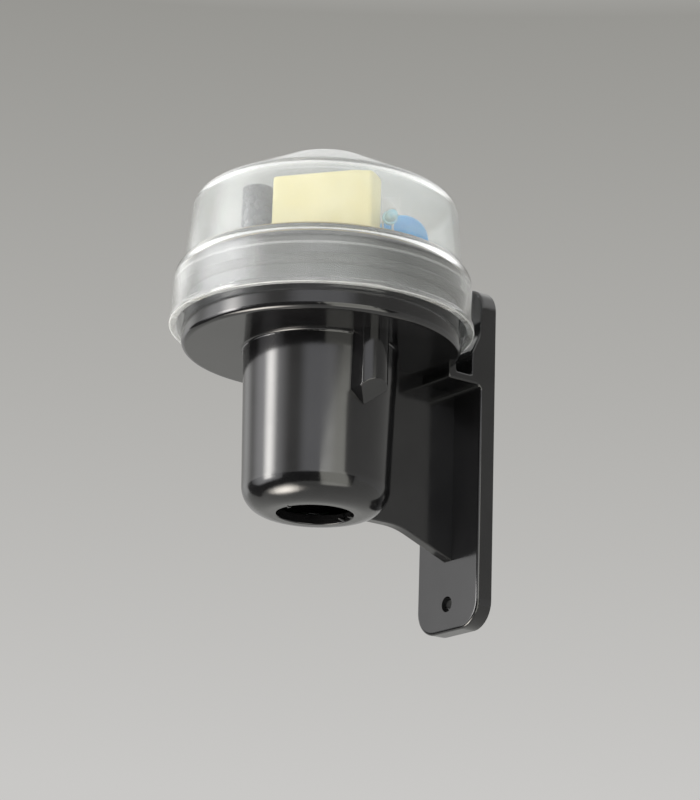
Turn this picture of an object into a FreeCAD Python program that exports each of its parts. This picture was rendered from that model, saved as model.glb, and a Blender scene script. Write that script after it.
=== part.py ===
import FreeCAD, Part
import math
import os

V = FreeCAD.Vector

# A wall photocell switch. Millimetres, +Z up, the wall is the plane y = 0 behind it, and the origin
# is the middle of the wall plate's back. The housing is drawn about the stem's axis, with z = 0 at
# the lower rim of the clear skirt, and moved to the wall at the end.

# Wall plate
plate_length = 93.4
plate_width = 25.7
plate_depth = 4.7
plate_corner = 7.0
plate_edge_round = 0.8
plate_above_rim = 20.1
wall_gap = 3.4
screw_hole_d = 4.2
screw_hole_from_end = 7.4
keyhole_entry_d = 8.5
keyhole_rise = 7.6
plate_face = 2.2
plate_side_wall = 2.0
plate_rib = 1.8
plate_rib_count = 4
plate_pad_wall = 2.4

# Shelf with its upturned lip, and the swell of the plate above it
shelf_top = -6.0
shelf_thickness = 2.3
shelf_fillet = 1.5
lip_thickness = 2.7
lip_top = -1.5
pocket_depth = 5.1
swell = 3.1
swell_foot = 0.4
swell_knee = 5.6
swell_top = 13.5
swell_knee_height = 2.4
swell_edge = 0.6

# Cup and stem
cup_r = 36.2
cup_wall = 2.4
cup_top = 15.0
cup_top_chamfer = 0.4
cup_foot_step = 0.35
cup_foot_top = -0.9
cup_foot_round = 1.5
floor_under = -5.7
floor_thickness = 2.5
floor_round = 1.0
stem_r = 20.27
stem_draft = 1.63
stem_foot = -49.4
stem_foot_round = 7.0
stem_wall = 2.5
stem_fillet = 0.7
entry_d = 20.0
entry_edge = 0.3

# Web between the stem and the plate
web_thickness = 3.2
web_foot = -47.8
web_slope = 21.0
web_tip = -54.4
web_bend_r = 19.5
web_edge = 0.4

# Screw pillars at both sides of the stem
pillar_share = 0.6203
pillar_r = 3.7
pilot_d = 2.9
pilot_depth = 22.0
rib_r = 5.0
rib_half_width = 4.0
rib_front_end = -19.0
rib_side_end = -20.9
rib_tip = -24.4
rib_edge = 0.35

# Clear cover
cover_wall = 1.6
skirt_space = 1.8
skirt_taper = 0.4
skirt_below_cup_top = 2.5
rim_bead = 0.4
rim_height = 1.2
shoulder_round = 5.0
shoulder_crease = 0.5
dome_step = 2.9
dome_taper = 1.65
dome_wall_height = 17.9
dome_corner_round = 4.65
dome_slope = 27.5
cap_r = 16.0
cap_rise = 4.4

# Seal and bayonet between the cup and the skirt
groove_low = 5.7
groove_width = 3.0
groove_depth = 1.05
seal_gap = 0.1
lug_count = 3
lug_span = 10.0
lug_first = -57.0
lug_height = 1.6
lug_below_cup_top = 2.2
lug_gap = 0.35
hook_height = 1.3
hook_gap = 0.3
hook_reach = 1.2

# Circuit board, and the turn of its layout about the stem's axis
board_inset = 1.7
board_t = 1.6
board_turn = 36.0
pin_out = 1.2
pin_play = 0.15
wire_slot_length = 12.0
wire_slot_width = 5.5
wire_slot_share = (-0.0580, 0.2174)

# Board screws
screw_play = 0.05
screw_clear_d = 3.2
screw_head_d = 5.4
screw_head_h = 2.0
screw_length = 16.0
cross_width = 0.9
cross_depth = 1.0

# Parts on the board: where each middle lies in the layout, as a share of the board's radius, and its sizes
film_beside_sensor = 2.35
film_from_screw = 0.57
film_from_cover = 1.75
film_size = (26.5, 8.5, 18.0)
film_pitch = 22.5
film_lead_d = 0.8
film_round = 0.9
can_gap = 0.85
can_shift = -1.3
can_d = 8.0
can_h = 16.0
can_pitch = 3.5
can_lead_d = 0.6
can_groove = 0.45
varistor_share = (0.5739, 0.1159)
varistor_d = 14.0
varistor_t = 4.2
varistor_rise = 0.8
varistor_turn = 12.0
varistor_pitch = 7.5
varistor_lead_d = 0.8
sensor_from_pillar = 6.58
sensor_d = 3.0
sensor_flange_d = 3.8
sensor_flange_t = 1.0
sensor_length = 4.6
sensor_height = 6.6
sensor_turn = -61.0
sensor_pitch = 2.54
sensor_lead_d = 0.5
sensor_lead_back = 1.8
relay_share = (-0.0435, -0.1087)
relay_size = (19.0, 15.5, 15.3)
relay_round = 0.8
relay_pin_d = 1.0
bridge_share = (-0.5797, 0.1304)
bridge_size = (8.4, 6.4, 2.9)
bridge_pin_pitch = 5.1
bridge_pin_row = 7.6
bridge_pin_d = 0.5
zener_share = (0.7246, -0.1449)
flyback_share = (-0.4493, -0.3188)
diode_d = 2.7
diode_length = 5.2
diode_pitch = 10.2
diode_lead_d = 0.8
inrush_share = (-0.5913, -0.2203)
inrush_d = 4.0
inrush_length = 10.0
inrush_pitch = 14.0
bleed_share = (0.4406, -0.1449)
bias_share = (0.6377, 0.3623)
resistor_d = 2.4
resistor_length = 6.2
resistor_pitch = 9.0
resistor_lead_d = 0.6
transistor_share = (0.4203, 0.2522)
transistor_r = 2.4
transistor_flat = 1.3
transistor_h = 4.6
transistor_rise = 2.2
transistor_pitch = 1.27
transistor_pin_d = 0.5
filter_from_terminal = 2.05
filter_row_share = 0.5507
filter_d = 6.0
filter_t = 2.6
filter_rise = 1.4
filter_pitch = 5.0
filter_lead_d = 0.6
terminal_from_screw = 1.06
terminal_row_share = 0.4696
terminal_ways = 3
terminal_pitch = 7.5
terminal_depth = 10.4
terminal_h = 12.0
terminal_wall = 1.4
terminal_step = 2.2
clamp_size = (4.8, 5.0, 6.4)
clamp_wall = 0.9
clamp_play = 0.15
clamp_rise = 1.4
clamp_screw_d = 3.0
clamp_head_d = 4.2
clamp_head_h = 1.6
clamp_screw_length = 5.0

# Worked out from the sizes above
frame_height = plate_length / 2 - plate_above_rim
skirt_r = cup_r + skirt_space + cover_wall
skirt_top_r = skirt_r - skirt_taper
skirt_top = cup_top - skirt_below_cup_top
skirt_rim_r = skirt_r + rim_bead
plate_foot = plate_above_rim - plate_length
plate_front = skirt_rim_r + wall_gap
axis_to_wall = plate_front + plate_depth
shelf_under = shelf_top - shelf_thickness
swell_front = plate_front - swell
lip_back = swell_front - pocket_depth
lip_front = lip_back - lip_thickness
floor_top = floor_under + floor_thickness
cup_in_r = cup_r - cup_wall
groove_r = cup_r - groove_depth
groove_top = groove_low + groove_width
board_r = cup_r - board_inset
pillar_x = board_r * pillar_share
board_low = cup_top
board_top = board_low + board_t
lug_top = cup_top - lug_below_cup_top
dome_foot_r = skirt_r - dome_step
dome_foot = board_top + 0.4
dome_corner_r = dome_foot_r - dome_taper
dome_corner = dome_foot + dome_wall_height
draft = math.tan(math.radians(stem_draft))


def on_board(share):
    """A point of the board's layout from its share of the board's radius."""
    return (share[0] * board_r, share[1] * board_r)


varistor_at = on_board(varistor_share)
relay_at = on_board(relay_share)
bridge_at = on_board(bridge_share)
zener_at = on_board(zener_share)
flyback_at = on_board(flyback_share)
inrush_at = on_board(inrush_share)
bleed_at = on_board(bleed_share)
bias_at = on_board(bias_share)
transistor_at = on_board(transistor_share)
wire_slot_at = on_board(wire_slot_share)
pillar_a = pillar_x * math.cos(math.radians(board_turn))
pillar_n = pillar_x * math.sin(math.radians(board_turn))
screw_out = screw_head_d / 2
sensor_stretch = 1 + sensor_from_pillar / pillar_x
sensor_at = (pillar_a * sensor_stretch, -pillar_n * sensor_stretch)
terminal_half = terminal_ways * terminal_pitch / 2
terminal_at = (-pillar_a + screw_out + terminal_from_screw + terminal_half, terminal_row_share * board_r)
filter_at = (terminal_at[0] + terminal_half + filter_from_terminal + filter_d / 2, filter_row_share * board_r)
# The film capacitor clears the screw, the cover and the sensor
film_row = -pillar_n - screw_out - film_from_screw - film_size[1] / 2
film_corner_r = dome_corner_r - cover_wall - film_from_cover
film_end = math.sqrt(film_corner_r**2 - (film_row - film_size[1] / 2) ** 2)
film_end = min(film_end, sensor_at[0] - film_beside_sensor)
film_at = (film_end - film_size[0] / 2, film_row)
can_at = (film_at[0] - film_size[0] / 2 - can_gap - can_d / 2, film_at[1] + can_shift)


def edge_loop(points):
    """A closed outline of straight and round stretches in the XZ plane from (x, z, radius) corners."""
    corners = []
    count = len(points)
    for i, (x, z, r) in enumerate(points):
        here = V(x, 0, z)
        before = V(points[i - 1][0], 0, points[i - 1][1])
        after = V(points[(i + 1) % count][0], 0, points[(i + 1) % count][1])
        if r == 0:
            corners.append((here, None, here))
            continue
        u = (before - here).normalize()
        w = (after - here).normalize()
        half = u.getAngle(w) / 2
        reach = r / math.tan(half)
        middle = here + (u + w).normalize() * (r / math.sin(half) - r)
        corners.append((here + u * reach, middle, here + w * reach))
    edges = []
    for i, (start, middle, end) in enumerate(corners):
        if middle is not None:
            edges.append(Part.Arc(start, middle, end).toShape())
        following = corners[(i + 1) % count][0]
        if (following - end).Length > 1e-6:
            edges.append(Part.LineSegment(end, following).toShape())
    return Part.Wire(edges)


def turned(points):
    """A solid turned about the stem's axis from its half outline."""
    return Part.Face(edge_loop(points)).revolve(V(0, 0, 0), V(0, 0, 1), 360)


def across(points, width):
    """A solid with an outline in the YZ plane, as wide as given along X, middle at x = 0."""
    solid = Part.Face(edge_loop(points)).extrude(V(0, width, 0))
    solid.translate(V(0, -width / 2, 0))
    solid.rotate(V(0, 0, 0), V(0, 0, 1), 90)
    return solid


def block(size, middle, low):
    """A box of the given size about a middle in plan, standing at a height."""
    corner = V(middle[0] - size[0] / 2, middle[1] - size[1] / 2, low)
    return Part.makeBox(size[0], size[1], size[2], corner)


def rod(d, low, high, x=0.0, y=0.0):
    return Part.makeCylinder(d / 2, high - low, V(x, y, low))


def rounded_uprights(solid, radius):
    """Round the edges that run along Z."""
    edges = [e for e in solid.Edges if abs(e.tangentAt(e.FirstParameter).z) > 0.999]
    return solid.makeFillet(radius, edges)


def rounded(solid, radius, chosen):
    """Round the edges that a test on their bounding box picks out."""
    return solid.makeFillet(radius, [e for e in solid.Edges if chosen(e.BoundBox)])


def ring_part(r_in, r_out, low, high, middle, span):
    """A piece of a ring about the axis, centred on an angle."""
    outer = Part.makeCylinder(r_out, high - low, V(0, 0, low), V(0, 0, 1), span)
    inner = Part.makeCylinder(r_in, high - low, V(0, 0, low), V(0, 0, 1), 360)
    piece = outer.cut(inner)
    piece.rotate(V(0, 0, 0), V(0, 0, 1), middle - span / 2)
    return piece


def skirt_outer_r(z):
    """Outer radius of the tapered skirt at a height."""
    return skirt_r + (skirt_top_r - skirt_r) * z / skirt_top


def stem_outer_r(z):
    """Outer radius of the tapered stem at a height."""
    return stem_r - (floor_under - z) * draft


def cup_and_stem():
    foot_r = cup_r + cup_foot_step
    foot_turn_r = stem_outer_r(stem_foot)
    return turned(
        [
            (0, stem_foot, 0),
            (foot_turn_r, stem_foot, stem_foot_round),
            (stem_r, floor_under, stem_fillet),
            (foot_r, floor_under, cup_foot_round),
            (foot_r, cup_foot_top, 0),
            (cup_r, cup_foot_top, 0),
            (cup_r, groove_low, 0),
            (groove_r, groove_low, 0),
            (groove_r, groove_top, 0),
            (cup_r, groove_top, 0),
            (cup_r, cup_top - cup_top_chamfer, 0),
            (cup_r - cup_top_chamfer, cup_top, 0),
            (0, cup_top, 0),
        ]
    )


def cup_hollow():
    """The space inside the cup and the stem, down to the foot with its cable entry."""
    inner_foot = stem_foot + stem_wall
    inner_foot_r = stem_outer_r(inner_foot) - stem_wall
    inner_top_r = stem_outer_r(floor_top) - stem_wall
    hollow = turned(
        [
            (0, inner_foot, 0),
            (inner_foot_r, inner_foot, stem_foot_round - stem_wall),
            (inner_top_r, floor_top, 0),
            (cup_in_r, floor_top, floor_round),
            (cup_in_r, cup_top + 1, 0),
            (0, cup_top + 1, 0),
        ]
    )
    return hollow.fuse(rod(entry_d, stem_foot - 1, inner_foot + 1))


def stem_rib(side):
    """The outer rib that carries on a screw pillar below the floor, with its bevelled end."""
    tip = rib_tip
    rib = rod(2 * rib_r, tip, floor_under + stem_fillet, pillar_x)
    wide = block((4 * rib_r, 2 * rib_half_width, -2 * tip), (pillar_x, 0), 2 * tip)
    front = edge_loop(
        [
            (0, 0, 0),
            (0, tip, 0),
            (stem_outer_r(tip), tip, 0),
            (pillar_x + rib_r, rib_front_end, 0),
            (pillar_x + rib_r, 0, 0),
        ]
    )
    front = Part.Face(front).extrude(V(0, 4 * rib_r, 0))
    front.translate(V(0, -2 * rib_r, 0))
    hip = across(
        [
            (-rib_half_width, 0, 0),
            (-rib_half_width, rib_side_end, 0),
            (0, tip, 0),
            (rib_half_width, rib_side_end, 0),
            (rib_half_width, 0, 0),
        ],
        4 * cup_r,
    )
    rib = rib.common(wide).common(front).common(hip)
    rib = rounded(rib, rib_edge, lambda box: box.XMax > stem_r and box.ZMin < rib_front_end + 1)
    rib.rotate(V(0, 0, 0), V(0, 0, 1), 0 if side > 0 else 180)
    return rib


def wall_plate():
    """The plate with its rounded front edge."""
    half = plate_width / 2
    outline = edge_loop(
        [
            (-half, plate_foot, plate_corner),
            (half, plate_foot, plate_corner),
            (half, plate_above_rim, plate_corner),
            (-half, plate_above_rim, plate_corner),
        ]
    )
    plate = Part.Face(outline).extrude(V(0, plate_depth, 0))
    plate.translate(V(0, plate_front, 0))
    front = [e for e in plate.Edges if e.BoundBox.YMax < plate_front + 1e-3]
    return plate.makeFillet(plate_edge_round, front)


def plate_pockets():
    """The cored back: pockets between the side wall, the ribs and the pads round the holes."""
    inset = plate_side_wall
    half = plate_width / 2 - inset
    depth = plate_depth - plate_face
    low = plate_foot + inset
    high = plate_above_rim - inset
    corner = plate_corner - inset
    outline = edge_loop(
        [(-half, low, corner), (half, low, corner), (half, high, corner), (-half, high, corner)]
    )
    pocket = Part.Face(outline).extrude(V(0, depth, 0))
    pocket.translate(V(0, axis_to_wall - depth, 0))
    upright = block((plate_rib, 2 * depth, plate_length), (0, axis_to_wall), plate_foot)
    keep = [upright]
    middle = plate_above_rim - plate_length / 2
    spacing = plate_length / (plate_rib_count + 1)
    for i in range(plate_rib_count + 1):
        z = middle + (i - plate_rib_count / 2) * spacing
        keep.append(block((plate_width, 2 * depth, plate_rib), (0, axis_to_wall), z - plate_rib / 2))
    for z, d in screw_points():
        pad = Part.makeCylinder(d / 2 + plate_pad_wall, 2 * depth, V(0, plate_front, z), V(0, 1, 0))
        keep.append(pad)
    return pocket.cut(Part.makeCompound(keep))


def screw_points():
    """Height and diameter of the lower hole, the keyhole's slot end and the keyhole's entry."""
    low = plate_foot + screw_hole_from_end
    high = plate_above_rim - screw_hole_from_end
    return [(low, screw_hole_d), (high, screw_hole_d), (high - keyhole_rise, keyhole_entry_d)]


def fixing_holes():
    """The round lower screw hole and the keyhole at the top, through the whole plate."""
    reach = 3 * plate_depth
    start = axis_to_wall - 2 * plate_depth
    holes = []
    for z, d in screw_points():
        holes.append(Part.makeCylinder(d / 2, reach, V(0, start, z), V(0, 1, 0)))
    high = screw_points()[1][0]
    slot = Part.makeBox(screw_hole_d, reach, keyhole_rise)
    slot.translate(V(-screw_hole_d / 2, start, high - keyhole_rise))
    return Part.makeCompound(holes).fuse(slot)


def shelf():
    """The shelf, its lip under the cup's back edge, and the swell that thickens the plate."""
    inside = plate_front + plate_face / 2
    outline = [
        (lip_front, shelf_under, lip_thickness / 3),
        (plate_front, shelf_under, shelf_fillet),
        (plate_front, shelf_under - 2 * shelf_fillet, 0),
        (inside, shelf_under - 2 * shelf_fillet, 0),
        (inside, swell_top, 0),
        (plate_front, swell_top, 0),
        (plate_front - swell + swell_knee_height, swell_knee, swell_knee),
        (swell_front, swell_foot, swell),
        (swell_front, shelf_top, 0.5),
        (lip_back, shelf_top, 0.5),
        (lip_back, lip_top, 0),
        (lip_front, lip_top, 0),
    ]
    side = plate_width / 2
    solid = across(outline, plate_width)
    return rounded(
        solid,
        swell_edge,
        lambda box: box.XLength < 1e-3 and abs(abs(box.XMin) - side) < 1e-3 and box.YMax < plate_front + 1e-3,
    )


def web():
    """The thin web in the middle plane, with its bent lower edge."""
    slope = math.tan(math.radians(web_slope))
    bend = plate_front - (web_foot - web_tip) / slope
    inside = plate_front + plate_face / 2
    outline = [
        (stem_r / 2, web_foot, 0),
        (bend, web_foot, web_bend_r),
        (inside, web_tip - (inside - plate_front) * slope, 0),
        (inside, floor_under + 0.5, 0),
        (stem_r / 2, floor_under + 0.5, 0),
    ]
    solid = across(outline, web_thickness)
    return rounded(solid, web_edge, lambda box: box.XLength < 1e-3 and box.ZMax < web_foot + 1e-3)


def pillar(side):
    return rod(2 * pillar_r, floor_under, board_low, side * pillar_x)


def pilot(side):
    return rod(pilot_d, board_low - pilot_depth, board_low + 1, side * pillar_x)


def cup_lug(middle):
    reach = skirt_outer_r(lug_top) - cover_wall - lug_gap
    return ring_part(cup_r - 0.5, reach, lug_top - lug_height, lug_top, middle, lug_span)


def lug_angles():
    return [lug_first + i * 360.0 / lug_count for i in range(lug_count)]


def housing():
    """The black moulding: cup, stem, ribs, web, shelf and wall plate in one piece."""
    sides = (1, -1)
    solid = cup_and_stem()
    solid = solid.fuse([wall_plate(), shelf(), web()] + [stem_rib(s) for s in sides])
    solid = solid.cut(cup_hollow())
    solid = solid.fuse([pillar(s) for s in sides] + [cup_lug(a) for a in lug_angles()])
    solid = solid.cut(Part.makeCompound([pilot(s) for s in sides]))
    solid = solid.cut(plate_pockets())
    solid = solid.cut(fixing_holes()).removeSplitter()
    # The cable entry's outer edge
    return rounded(
        solid,
        entry_edge,
        lambda box: box.ZMax < stem_foot + 1e-3 and box.ZLength < 1e-3 and abs(box.XLength - entry_d) < 1e-3,
    )


def cover_outline(inset):
    """Edges of the cover's outer face, or of a face that lies the given distance inside it."""
    slope = math.radians(dome_slope)
    cap_radius = (cap_r**2 + cap_rise**2) / (2 * cap_rise)
    # The sloping top's line, from the dome's corner up to the cap
    taper = (dome_foot_r - dome_corner_r) / (dome_corner - dome_foot)
    cap_edge = dome_corner + (dome_corner_r - cap_r) * math.tan(slope)
    cap_centre = cap_edge + cap_rise - cap_radius
    round_in = cap_radius - inset
    line_drop = inset / math.cos(slope)
    # Where the cap's sphere meets the sloping line
    k = math.tan(slope)
    c = cap_edge - line_drop + k * cap_r - cap_centre
    edge_r = (k * c + math.sqrt(round_in**2 * (1 + k * k) - c * c)) / (1 + k * k)
    edge_z = cap_centre + c - k * edge_r
    # The rounded corner between the wall and the sloping top
    wall_low = V(dome_foot_r - inset, 0, dome_foot)
    corner_rise = (inset * k - line_drop) / (1 - taper * k)
    corner = V(dome_corner_r - inset - taper * corner_rise, 0, dome_corner + corner_rise)
    up = V(edge_r - corner.x, 0, edge_z - corner.z).normalize()
    down = (wall_low - corner).normalize()
    half = up.getAngle(down) / 2
    r = dome_corner_round - inset
    foot_of_round = corner + down * (r / math.tan(half))
    top_of_round = corner + up * (r / math.tan(half))
    middle_of_round = corner + (up + down).normalize() * (r / math.sin(half) - r)
    # The shoulder's arc, from the skirt up to the wall
    arc_r = shoulder_round - inset
    centre_r = skirt_top_r - shoulder_round
    meet = V(wall_low.x, 0, skirt_top + math.sqrt(arc_r**2 - (wall_low.x - centre_r) ** 2))
    turn = math.acos((wall_low.x - centre_r) / arc_r) / 2
    middle_of_shoulder = V(centre_r + arc_r * math.cos(turn), 0, skirt_top + arc_r * math.sin(turn))
    skirt_end = V(skirt_top_r - inset, 0, skirt_top)
    apex = V(0, 0, cap_centre + round_in)
    cap_mid_r = edge_r / 2
    cap_mid = V(cap_mid_r, 0, cap_centre + math.sqrt(round_in**2 - cap_mid_r**2))
    return [
        Part.Arc(apex, cap_mid, V(edge_r, 0, edge_z)).toShape(),
        Part.LineSegment(V(edge_r, 0, edge_z), top_of_round).toShape(),
        Part.Arc(top_of_round, middle_of_round, foot_of_round).toShape(),
        Part.LineSegment(foot_of_round, meet).toShape(),
        Part.Arc(meet, middle_of_shoulder, skirt_end).toShape(),
    ]


def dome_cover():
    """The clear moulding: a wall of even thickness, with a beaded rim and bayonet hooks inside."""
    outer = cover_outline(0)
    inner = cover_outline(cover_wall)
    bead_top = rim_height + rim_bead
    rim = [
        V(skirt_top_r, 0, skirt_top),
        V(skirt_outer_r(bead_top), 0, bead_top),
        V(skirt_rim_r, 0, rim_height),
        V(skirt_rim_r, 0, 0),
        V(skirt_r - cover_wall, 0, 0),
        V(skirt_top_r - cover_wall, 0, skirt_top),
    ]
    down = [Part.LineSegment(a, b).toShape() for a, b in zip(rim, rim[1:])]
    apex_out = outer[0].Vertexes[0].Point
    apex_in = inner[0].Vertexes[0].Point
    close = Part.LineSegment(apex_in, apex_out).toShape()
    wire = Part.Wire(Part.__sortEdges__(outer + down + inner + [close]))
    shell = Part.Face(wire).revolve(V(0, 0, 0), V(0, 0, 1), 360)
    crease = [e for e in shell.Edges if abs(e.BoundBox.XMax - dome_foot_r) < 0.01 and e.Closed]
    shell = shell.makeFillet(shoulder_crease, crease)
    top = lug_top - lug_height - hook_gap
    outside = skirt_outer_r(top) - cover_wall
    hooks = [
        ring_part(outside - hook_reach, outside + 0.5, top - hook_height, top, a, lug_span)
        for a in lug_angles()
    ]
    return shell.fuse(hooks).removeSplitter()


def cover_seal():
    """The ring seal in the cup's groove, against the inside of the skirt."""
    height = (groove_low + groove_top) / 2
    outside = skirt_outer_r(height) - cover_wall - seal_gap
    inside = groove_r + seal_gap
    section = (outside - inside) / 2
    return Part.makeTorus((outside + inside) / 2, section, V(0, 0, height))


def layout(shape):
    """Move a piece drawn in the board's layout, with z = 0 on its upper face, to its place."""
    shape.rotate(V(0, 0, 0), V(0, 0, 1), board_turn)
    shape.translate(V(0, 0, board_top))
    return shape


def pins(points, d, top):
    """Straight leads through the board, from a height above it to just below it."""
    return [rod(d, -board_t - pin_out, top, x, y) for x, y in points]


def pair(at, pitch, turn=0.0):
    """The two lead points of a part about its middle, along a direction in the layout."""
    x = pitch / 2 * math.cos(math.radians(turn))
    y = pitch / 2 * math.sin(math.radians(turn))
    return [(at[0] - x, at[1] - y), (at[0] + x, at[1] + y)]


def relay_pins():
    x = relay_size[0] / 2 - 2.5
    y = relay_size[1] / 2 - 1.9
    offsets = [(-x, 0), (-x + 2, y), (-x + 2, -y), (x, y), (x, -y)]
    return [(relay_at[0] + dx, relay_at[1] + dy) for dx, dy in offsets]


def bridge_pins():
    x = bridge_pin_row / 2
    y = bridge_pin_pitch / 2
    return [(bridge_at[0] + sx * x, bridge_at[1] + sy * y) for sx in (-1, 1) for sy in (-1, 1)]


def transistor_pins():
    return [(transistor_at[0] + i * transistor_pitch, transistor_at[1]) for i in (-1, 0, 1)]


def sensor_pins():
    """The two feet of the sensor's bent leads, behind its head."""
    turn = math.radians(sensor_turn)
    back = (sensor_at[0] - sensor_lead_back * math.cos(turn), sensor_at[1] - sensor_lead_back * math.sin(turn))
    return pair(back, sensor_pitch, sensor_turn + 90)


def terminal_ways_at():
    return [
        (terminal_at[0] + (i - (terminal_ways - 1) / 2) * terminal_pitch, terminal_at[1])
        for i in range(terminal_ways)
    ]


def lead_table():
    """Every part's lead points and lead diameter, from which the board is drilled."""
    return {
        "film": (pair(film_at, film_pitch), film_lead_d),
        "can": (pair(can_at, can_pitch), can_lead_d),
        "varistor": (pair(varistor_at, varistor_pitch, varistor_turn), varistor_lead_d),
        "sensor": (sensor_pins(), sensor_lead_d),
        "relay": (relay_pins(), relay_pin_d),
        "bridge": (bridge_pins(), bridge_pin_d),
        "zener": (pair(zener_at, diode_pitch, 90), diode_lead_d),
        "flyback": (pair(flyback_at, diode_pitch, 90), diode_lead_d),
        "inrush": (pair(inrush_at, inrush_pitch, 90), diode_lead_d),
        "bleed": (pair(bleed_at, resistor_pitch), resistor_lead_d),
        "bias": (pair(bias_at, resistor_pitch), resistor_lead_d),
        "transistor": (transistor_pins(), transistor_pin_d),
        "filter": (pair(filter_at, filter_pitch), filter_lead_d),
        "terminal": (terminal_ways_at(), relay_pin_d),
    }


def circuit_board():
    board = rod(2 * board_r, -board_t, 0)
    holes = []
    for points, d in lead_table().values():
        holes += [rod(d + 2 * pin_play, -board_t - 1, 1, x, y) for x, y in points]
    for x, y in board_screw_points():
        holes.append(rod(screw_clear_d, -board_t - 1, 1, x, y))
    slot_size = (wire_slot_length, wire_slot_width, board_t + 2)
    slot = block(slot_size, wire_slot_at, -board_t - 1)
    holes.append(rounded_uprights(slot, wire_slot_width / 2 - 0.01))
    return layout(board.cut(Part.makeCompound(holes)))


def board_screw_points():
    """The pillars' middles, in the board's layout."""
    turn = math.radians(-board_turn)
    x = pillar_x * math.cos(turn)
    y = pillar_x * math.sin(turn)
    return [(x, y), (-x, -y)]


def board_screw(x, y):
    """A pan head screw with a cross recess, its thread left plain."""
    head = rod(screw_head_d, 0, screw_head_h, x, y)
    top = [e for e in head.Edges if e.BoundBox.ZMin > screw_head_h - 1e-3]
    head = head.makeFillet(0.7 * screw_head_h, top)
    shank = rod(pilot_d - 2 * screw_play, -screw_length, 0.1, x, y)
    low = screw_head_h - cross_depth
    bar = (0.6 * screw_head_d, cross_width, screw_head_h)
    cross = block(bar, (x, y), low).fuse(block((bar[1], bar[0], bar[2]), (x, y), low))
    return head.fuse(shank).cut(cross).removeSplitter()


def board_screws():
    return layout(Part.makeCompound([board_screw(x, y) for x, y in board_screw_points()]))


def film_capacitor():
    """A box capacitor with softly rounded edges, standing on the board."""
    body = block(film_size, film_at, 0)
    edges = [e for e in body.Edges if e.BoundBox.ZMax > 0.1]
    body = body.makeFillet(film_round, edges)
    points, d = lead_table()["film"]
    return layout(body.fuse(pins(points, d, 1.0)))


def electrolytic_capacitor():
    """A round can in its sleeve: crimp groove near the foot and a rolled sleeve edge on top."""
    r = can_d / 2
    lip = 0.8
    body = turned(
        [
            (0, 0, 0),
            (r, 0, 0.3),
            (r, 1.2, 0),
            (r - can_groove, 1.7, 0),
            (r - can_groove, 2.2, 0),
            (r, 2.7, 0),
            (r, can_h, 0.5),
            (r - lip, can_h, 0),
            (r - lip, can_h - 0.3, 0),
            (0, can_h - 0.3, 0),
        ]
    )
    body.translate(V(can_at[0], can_at[1], 0))
    points, d = lead_table()["can"]
    return layout(body.fuse(pins(points, d, 1.0)))


def coated_disc(at, d, thickness, rise, turn, leads):
    """An upright coated disc, thicker in the middle, on two straight leads."""
    r = d / 2
    rim = thickness / 4
    bulge = (r * r + rim * rim) / (2 * rim)
    half = Part.makeSphere(bulge).common(Part.makeCylinder(r, 2 * bulge))
    half.translate(V(0, 0, rim - bulge))
    half = half.common(Part.makeCylinder(r, thickness))
    foot = half.fuse(half.mirror(V(0, 0, 0), V(0, 0, 1)))
    foot = foot.fuse(Part.makeCylinder(r, 2 * rim, V(0, 0, -rim)))
    foot.rotate(V(0, 0, 0), V(1, 0, 0), 90)
    foot.rotate(V(0, 0, 0), V(0, 0, 1), turn)
    foot.translate(V(at[0], at[1], rise + r))
    points, lead_d = leads
    return layout(foot.fuse(pins(points, lead_d, rise + r)).removeSplitter())


def varistor():
    leads = lead_table()["varistor"]
    return coated_disc(varistor_at, varistor_d, varistor_t, varistor_rise, varistor_turn, leads)


def filter_capacitor():
    leads = lead_table()["filter"]
    return coated_disc(filter_at, filter_d, filter_t, filter_rise, 0.0, leads)


def bent_lead(d, start, corner, end, bend):
    """A lead of round wire with one bend."""
    u = (start - corner).normalize()
    w = (end - corner).normalize()
    half = u.getAngle(w) / 2
    reach = bend / math.tan(half)
    middle = corner + (u + w).normalize() * (bend / math.sin(half) - bend)
    path = Part.Wire(
        [
            Part.LineSegment(start, corner + u * reach).toShape(),
            Part.Arc(corner + u * reach, middle, corner + w * reach).toShape(),
            Part.LineSegment(corner + w * reach, end).toShape(),
        ]
    )
    section = Part.Wire(Part.makeCircle(d / 2, start, u))
    return path.makePipeShell([section], True, True)


def light_sensor():
    """A small clear round head with a flange, looking out level, on two leads bent down to the board."""
    head = Part.makeCylinder(sensor_d / 2, sensor_length - sensor_d / 2)
    head = head.fuse(Part.makeSphere(sensor_d / 2, V(0, 0, sensor_length - sensor_d / 2)))
    head = head.fuse(Part.makeCylinder(sensor_flange_d / 2, sensor_flange_t))
    head.rotate(V(0, 0, 0), V(0, 1, 0), 90)
    head.rotate(V(0, 0, 0), V(0, 0, 1), sensor_turn)
    head.translate(V(sensor_at[0], sensor_at[1], sensor_height))
    turn = math.radians(sensor_turn)
    points, d = lead_table()["sensor"]
    solids = [head]
    for x, y in points:
        corner = V(x, y, sensor_height)
        ahead = V(math.cos(turn), math.sin(turn), 0) * (sensor_lead_back + 0.3)
        solids.append(bent_lead(d, corner + ahead, corner, V(x, y, -board_t - pin_out), 1.0))
    return layout(solids[0].fuse(solids[1:]).removeSplitter())


def relay():
    """The sealed switching relay, a plain box on five pins."""
    body = block(relay_size, relay_at, 0)
    edges = [e for e in body.Edges if e.BoundBox.ZMax > 0.1]
    body = body.makeFillet(relay_round, edges)
    points, d = lead_table()["relay"]
    return layout(body.fuse(pins(points, d, 1.0)))


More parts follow.
